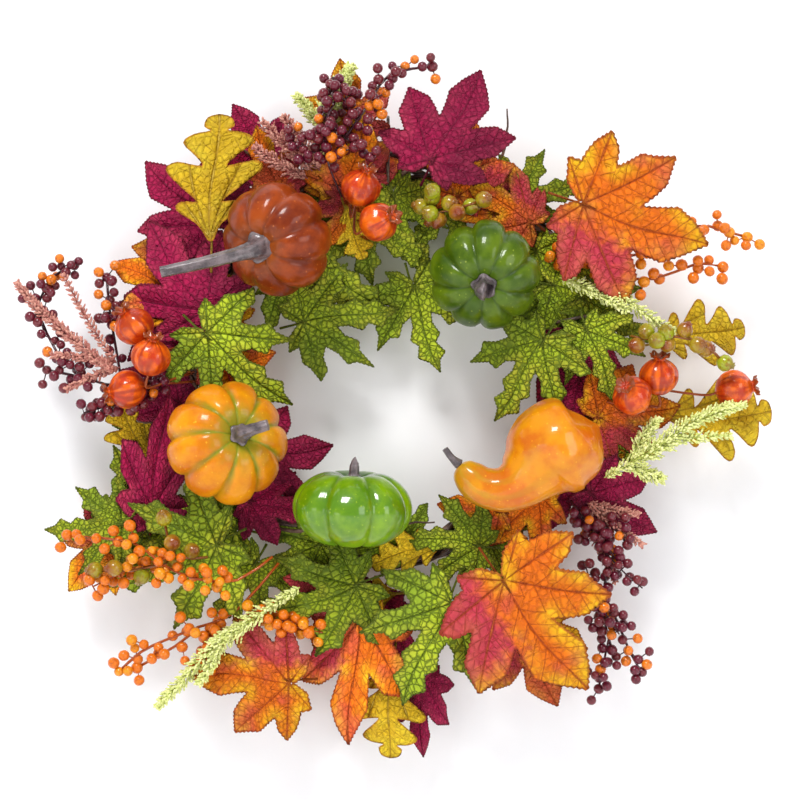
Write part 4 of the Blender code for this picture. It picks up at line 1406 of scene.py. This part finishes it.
class GourdSettings(bpy.types.PropertyGroup):
    groove: share_setting("Groove", "Depth of the grooves, as a share of the radius", 0.13)


class BeadSettings(bpy.types.PropertyGroup):
    extra: IntProperty(
        name="Extra beads",
        description="Tries for more beads round each one of the frame",
        default=6,
        min=0,
        max=12,
    )
    second: share_setting("Orange share", "Share of orange beads in a burgundy spray", 0.20)


class TwigSettings(bpy.types.PropertyGroup):
    count: IntProperty(name="Twigs", description="Twigs in each strand", default=8, min=1, max=16)
    turns: IntProperty(name="Turns", description="Turns of the twist round the ring", default=6)


class StageSettings(bpy.types.PropertyGroup):
    distance: length_setting("Distance", "From the camera to the wreath's face", 1.46)
    aim_x: length_setting("Aim across", "Where the camera looks, from the ring's centre", 0.0095)
    aim_z: length_setting("Aim up", "Where the camera looks, from the ring's centre", -0.033)
    lens: FloatProperty(name="Lens", description="Focal length", default=83.0, unit="CAMERA")
    wall: tint_setting("Wall", "Colour of the wall and floor", (0.86, 0.86, 0.87))


SETTINGS = {
    "wreath_leaf": LeafSettings,
    "wreath_gourd": GourdSettings,
    "wreath_bead": BeadSettings,
    "wreath_twig": TwigSettings,
    "wreath_stage": StageSettings,
}


def leaf_materials(settings):
    """The four printed cloths."""
    wine = (0.46, 0.012, 0.085)
    return {
        "orange_leaf": leaf_material(
            "orange_leaf_print", tuple(settings.orange), (0.86, 0.48, 0.012), wine, 0.8,
            (0.26, 0.035, 0.008), 0.8, 0.26, (0.24, 0.03, 0.010), (0.66, 0.20, 0.02), 0.5,
        ),
        "burgundy_leaf": leaf_material(
            "burgundy_leaf_print", tuple(settings.burgundy), (0.42, 0.03, 0.08), (0.13, 0.008, 0.03), 0.6,
            (0.09, 0.005, 0.020), 0.7, 0.35, (0.12, 0.008, 0.02), (0.45, 0.05, 0.10), 0.5,
        ),
        "green_leaf": leaf_material(
            "green_leaf_print", tuple(settings.green), (0.40, 0.40, 0.03), (0.12, 0.20, 0.015), 0.6,
            (0.060, 0.095, 0.006), 0.95, 0.78, (0.08, 0.10, 0.010), (0.42, 0.50, 0.06), 0.85,
        ),
        "yellow_leaf": leaf_material(
            "yellow_leaf_print", tuple(settings.yellow), (0.80, 0.58, 0.03), (0.50, 0.28, 0.01), 0.6,
            (0.26, 0.14, 0.01), 0.7, 0.22, (0.40, 0.16, 0.01), (0.84, 0.68, 0.14), 0.6,
        ),
    }


# ---- Operators ----


class WREATH_OT_ring(bpy.types.Operator):
    """Makes the ring's strands from thin twisted twigs, with a few bare twig ends"""

    bl_idname = "wreath.ring"
    bl_label = "Ring of Twigs"

    def execute(self, context):
        settings = context.scene.wreath_twig
        bark = mottled_material(
            "grapevine_bark", (0.045, 0.022, 0.016), (0.15, 0.085, 0.055), (0.30, 0.20, 0.14), 0.3, 90.0,
            bump=0.5,
        )
        for k, vine in enumerate(VINES):
            bm = bmesh.new()
            add_tubes(bm, twig_routes(k, settings.count, settings.turns, k + 1.5), 2)
            finish_piece(vine + "_twigs", bm, bark, RING_BODY, [vine])
        bm = bmesh.new()
        add_tubes(bm, [stray_route(row, key) for key, row in enumerate(STRAY_TWIGS)], 2)
        finish_piece("twig_ends", bm, bark, RING_BODY)
        return {"FINISHED"}


class WREATH_OT_wires(bpy.types.Operator):
    """Makes the tie wires and the hanging loop"""

    bl_idname = "wreath.wires"
    bl_label = "Tie Wires and Loop"

    def execute(self, context):
        lacquer = mottled_material(
            "brown_wire", (0.06, 0.04, 0.03), (0.14, 0.09, 0.06), (0.2, 0.15, 0.1), 0.2, 300.0,
            coat=0.4, bump=0.1,
        )
        for node in ("tie_wire_left", "tie_wire_right", "hanging_loop"):
            finish_piece(node + "_wire", wire_bmesh(node), lacquer, BODY_OF[node], [node])
        return {"FINISHED"}


class WREATH_OT_leaves(bpy.types.Operator):
    """Makes every printed cloth leaf on its wire rib"""

    bl_idname = "wreath.leaves"
    bl_label = "Leaves"

    def execute(self, context):
        settings = context.scene.wreath_leaf
        prints = leaf_materials(settings)
        for i, (node, slot) in enumerate(nodes_in_slot("_leaf")):
            bm = leaf_bmesh(slot, leaf_bed(node, slot), chance(i, 4), settings.curl, settings.thickness)
            finish_piece(node + "_cloth", bm, prints[slot], BODY_OF[node], [node])
        for i, row in enumerate(FILLER_LEAVES):
            slot = row[0]
            bm = leaf_bmesh(slot, filler_bed(row), chance(i, 9), settings.curl, settings.thickness)
            finish_piece(f"small_leaf_{i + 1:02d}", bm, prints[slot], RING_BODY)
        return {"FINISHED"}


class WREATH_OT_gourds(bpy.types.Operator):
    """Makes the four pumpkins, the crookneck gourd and their stalks"""

    bl_idname = "wreath.gourds"
    bl_label = "Gourds"

    def execute(self, context):
        settings = context.scene.wreath_gourd
        dry = mottled_material(
            "dry_stalk_skin", (0.045, 0.032, 0.036), (0.17, 0.13, 0.135), (0.40, 0.35, 0.35), 0.3, 120.0,
            coat=0.9, bump=1.0,
        )
        for node, (ribs, phase, slot, *looks) in PUMPKINS.items():
            skin = gourd_material(node + "_skin", *looks)
            bm = pumpkin_bmesh(node, ribs, settings.groove, phase)
            finish_piece(node + "_body", bm, skin, BODY_OF[node], [node])
            stalk = stalk_bmesh(node + "_stem", 5, 0.12, 0.25)
            finish_piece(node + "_stalk", stalk, dry, BODY_OF[node], [node + "_stem"])
        skin = gourd_material("crookneck_skin", *CROOKNECK_LOOKS)
        node = "crookneck_gourd"
        finish_piece(node + "_body", crookneck_bmesh(node), skin, RING_BODY, [node])
        stalk = stalk_bmesh(node + "_stem", 5, 0.10, 0.1)
        finish_piece(node + "_stalk", stalk, dry, RING_BODY, [node + "_stem"])
        return {"FINISHED"}


class WREATH_OT_pods(bpy.types.Operator):
    """Makes the picks of crowned seed pods"""

    bl_idname = "wreath.pods"
    bl_label = "Seed Pods"

    def execute(self, context):
        skin = gourd_material(
            "seed_pod_skin", (0.46, 0.030, 0.003), (0.74, 0.125, 0.004), (0.86, 0.30, 0.02),
            (0.30, 0.022, 0.004), 2.4, (0.22, 0.05, 0.012), 0.85, 0.6, 110.0,
        )
        for node in POD_PICKS:
            bm = bmesh.new()
            pods = pod_axes(node)
            bm.verts.layers.float.new("groove")
            crown = bm.verts.layers.float.new("crown")
            stalks = [pod_stalk(centre - axis * POD_RADIUS * 0.9, axis) for centre, axis in pods]
            set_value(add_tubes(bm, stalks, 1), crown, 1.0)
            for centre, axis in pods:
                add_pod(bm, centre, axis, POD_RADIUS)
            finish_piece(node + "_pods", bm, skin, BODY_OF[node], [node])
        return {"FINISHED"}


class WREATH_OT_berries(bpy.types.Operator):
    """Makes the sprays of lacquered beads and the sprays of hips"""

    bl_idname = "wreath.berries"
    bl_label = "Berry Sprays"

    def execute(self, context):
        settings = context.scene.wreath_bead
        wine = bead_material(
            "burgundy_bead", (0.115, 0.006, 0.022), (0.70, 0.17, 0.005), (0.035, 0.003, 0.008), 0.7, 0.25
        )
        orange = bead_material(
            "orange_bead", (0.66, 0.150, 0.004), (0.74, 0.25, 0.006), (0.30, 0.05, 0.006), 0.5, 0.3
        )
        hip = bead_material(
            "hip_bead", (0.30, 0.36, 0.010), (0.36, 0.16, 0.010), (0.20, 0.02, 0.008), 0.7, 0.2
        )
        # The lacquer, a bead's radius, the tries round it and how far they lie, and the second tint's share
        kinds = {
            "burgundy_berry": (wine, BURGUNDY_RADIUS, settings.extra, 2.3, settings.second),
            "orange_berry": (orange, ORANGE_RADIUS, settings.extra // 2, 2.2, 0.3),
        }
        pods = [centre for node in POD_PICKS for centre, _ in pod_axes(node)]
        for key, (node, slot) in enumerate(nodes_in_slot("_berry")):
            if slot in kinds:
                lacquer, radius, extra, reach, share = kinds[slot]
                bm = bead_spray_bmesh(node, radius, extra, reach, share, key, pods)
                finish_piece(node + "_beads", bm, lacquer, BODY_OF[node], [node])
            else:
                bm = hip_spray_bmesh(node, HIP_RADIUS, key)
                finish_piece(node + "_hips", bm, hip, BODY_OF[node], [node])
        for key, node, slot, row in sprigs(BEAD_SPRIGS):
            lacquer, radius, _, _, share = kinds[slot]
            bm = bead_sprig_bmesh(row, radius, share, key)
            finish_piece(f"bead_sprig_{key + 1:02d}", bm, lacquer, BODY_OF[node])
        return {"FINISHED"}


class WREATH_OT_seeds(bpy.types.Operator):
    """Makes the flocked seed heads"""

    bl_idname = "wreath.seeds"
    bl_label = "Seed Heads"

    def execute(self, context):
        flock = {
            "pale_seed": bead_material(
                "pale_seed_flock", (0.60, 0.66, 0.18), (0.82, 0.84, 0.40), (0.38, 0.42, 0.10), 0.0, 0.6
            ),
            "pink_seed": bead_material(
                "pink_seed_flock", (0.44, 0.15, 0.13), (0.66, 0.34, 0.26), (0.22, 0.06, 0.05), 0.0, 0.6
            ),
        }
        for key, (node, slot) in enumerate(nodes_in_slot("_seed")):
            bm = plume_bmesh(from_the_ring(tube_rings(node)), key)
            finish_piece(node + "_grains", bm, flock[slot], BODY_OF[node], [node])
        for key, node, slot, row in sprigs(PLUME_SPRIGS):
            bm = plume_bmesh(sprig_rows(row), key + 0.5)
            finish_piece(f"plume_sprig_{key + 1:02d}", bm, flock[slot], BODY_OF[node])
        return {"FINISHED"}


class WREATH_OT_stage(bpy.types.Operator):
    """Makes the wall, the floor, the lights and the camera"""

    bl_idname = "wreath.stage"
    bl_label = "Stage"

    def execute(self, context):
        settings = context.scene.wreath_stage
        paint = wall_material(tuple(settings.wall))
        wall_gap = 0.002
        floor_z = cad_box[0].z - 0.10
        add_backdrop("wall", paint, (0.0, DOOR_Y + wall_gap, 1.0), Matrix.Rotation(math.radians(90), 4, "X"))
        add_backdrop("floor", paint, (0.0, 0.0, floor_z), Matrix.Identity(4))
        add_area("key_light", (-0.7, -2.4, 2.8), (0.0, 0.0, -0.2), 1.1, 130.0)
        add_area("fill_light", (2.6, -3.0, 0.5), (0.0, 0.0, -0.2), 2.0, 45.0)
        add_area("low_light", (-2.4, -2.8, -1.0), (0.0, 0.0, -0.2), 2.0, 30.0)
        add_area("rear_light", (0.4, 1.8, 0.8), (0.0, 0.0, -0.2), 1.6, 22.0)
        world = bpy.data.worlds.new("studio")
        world.use_nodes = True
        world.node_tree.nodes["Background"].inputs["Color"].default_value = (0.95, 0.97, 1.0, 1.0)
        world.node_tree.nodes["Background"].inputs["Strength"].default_value = 0.44
        context.scene.world = world
        context.scene.view_settings.view_transform = "Standard"
        data = bpy.data.cameras.new("camera")
        data.lens = settings.lens
        camera = bpy.data.objects.new("camera", data)
        face = DOOR_Y - 0.040
        camera.location = RING_CENTRE + Vector((settings.aim_x, face - settings.distance, settings.aim_z))
        camera.rotation_euler = (math.radians(90), 0.0, 0.0)
        context.scene.collection.objects.link(camera)
        context.scene.camera = camera
        return {"FINISHED"}


def wall_material(rgb):
    """Pale paint that is seen, and takes light, only from the wreath's side."""
    made, g, inputs = new_material("pale_paint", Roughness=0.9)
    inputs["Base Color"].default_value = colour(rgb)
    tree = made.node_tree
    clear = g.node("ShaderNodeBsdfTransparent").outputs[0]
    geometry = g.node("ShaderNodeNewGeometry").outputs["Backfacing"]
    shadow = g.node("ShaderNodeLightPath").outputs["Is Shadow Ray"]
    away = g.math("MAXIMUM", geometry, shadow)
    paint = tree.nodes["Principled BSDF"].outputs[0]
    mixed = g.node("ShaderNodeMixShader", {0: away, 1: paint, 2: clear}).outputs[0]
    g.feed(tree.nodes["Material Output"].inputs["Surface"], mixed)
    return made


def add_backdrop(name, material, place, turn):
    bm = bmesh.new()
    matrix = Matrix.Translation(place) @ turn
    bmesh.ops.create_grid(bm, x_segments=1, y_segments=1, size=3.0, matrix=matrix)
    mesh = bpy.data.meshes.new(name)
    bm.to_mesh(mesh)
    bm.free()
    mesh.materials.append(material)
    obj = bpy.data.objects.new(name, mesh)
    bpy.context.scene.collection.objects.link(obj)


def add_area(name, place, target, size, energy):
    """A square soft light aimed at a point."""
    data = bpy.data.lights.new(name, "AREA")
    data.size = size
    data.energy = energy
    light = bpy.data.objects.new(name, data)
    light.location = place
    light.rotation_euler = (Vector(target) - Vector(place)).to_track_quat("-Z", "Y").to_euler()
    bpy.context.scene.collection.objects.link(light)


class WREATH_PT_panel(bpy.types.Panel):
    """Lists the wreath's pieces and their settings"""

    bl_idname = "WREATH_PT_panel"
    bl_label = "Harvest Door Wreath"
    bl_space_type = "VIEW_3D"
    bl_region_type = "UI"
    bl_category = "Wreath"

    def draw(self, context):
        for operator in OPERATORS:
            self.layout.operator(operator.bl_idname)
        for name, group_class in SETTINGS.items():
            box = self.layout.box()
            for key in group_class.__annotations__:
                box.prop(getattr(context.scene, name), key)


OPERATORS = (
    WREATH_OT_stage,
    WREATH_OT_ring,
    WREATH_OT_wires,
    WREATH_OT_leaves,
    WREATH_OT_gourds,
    WREATH_OT_pods,
    WREATH_OT_berries,
    WREATH_OT_seeds,
)


def register():
    for cls in (*SETTINGS.values(), *OPERATORS, WREATH_PT_panel):
        bpy.utils.register_class(cls)
    for name, group_class in SETTINGS.items():
        setattr(bpy.types.Scene, name, PointerProperty(type=group_class))


def unregister():
    for name in SETTINGS:
        delattr(bpy.types.Scene, name)
    for cls in reversed((*SETTINGS.values(), *OPERATORS, WREATH_PT_panel)):
        bpy.utils.unregister_class(cls)


def main():
    register()
    bpy.ops.wreath.stage()
    bpy.ops.wreath.ring()
    bpy.ops.wreath.wires()
    bpy.ops.wreath.leaves()
    bpy.ops.wreath.gourds()
    bpy.ops.wreath.pods()
    bpy.ops.wreath.berries()
    bpy.ops.wreath.seeds()


if __name__ == "__main__":
    main()
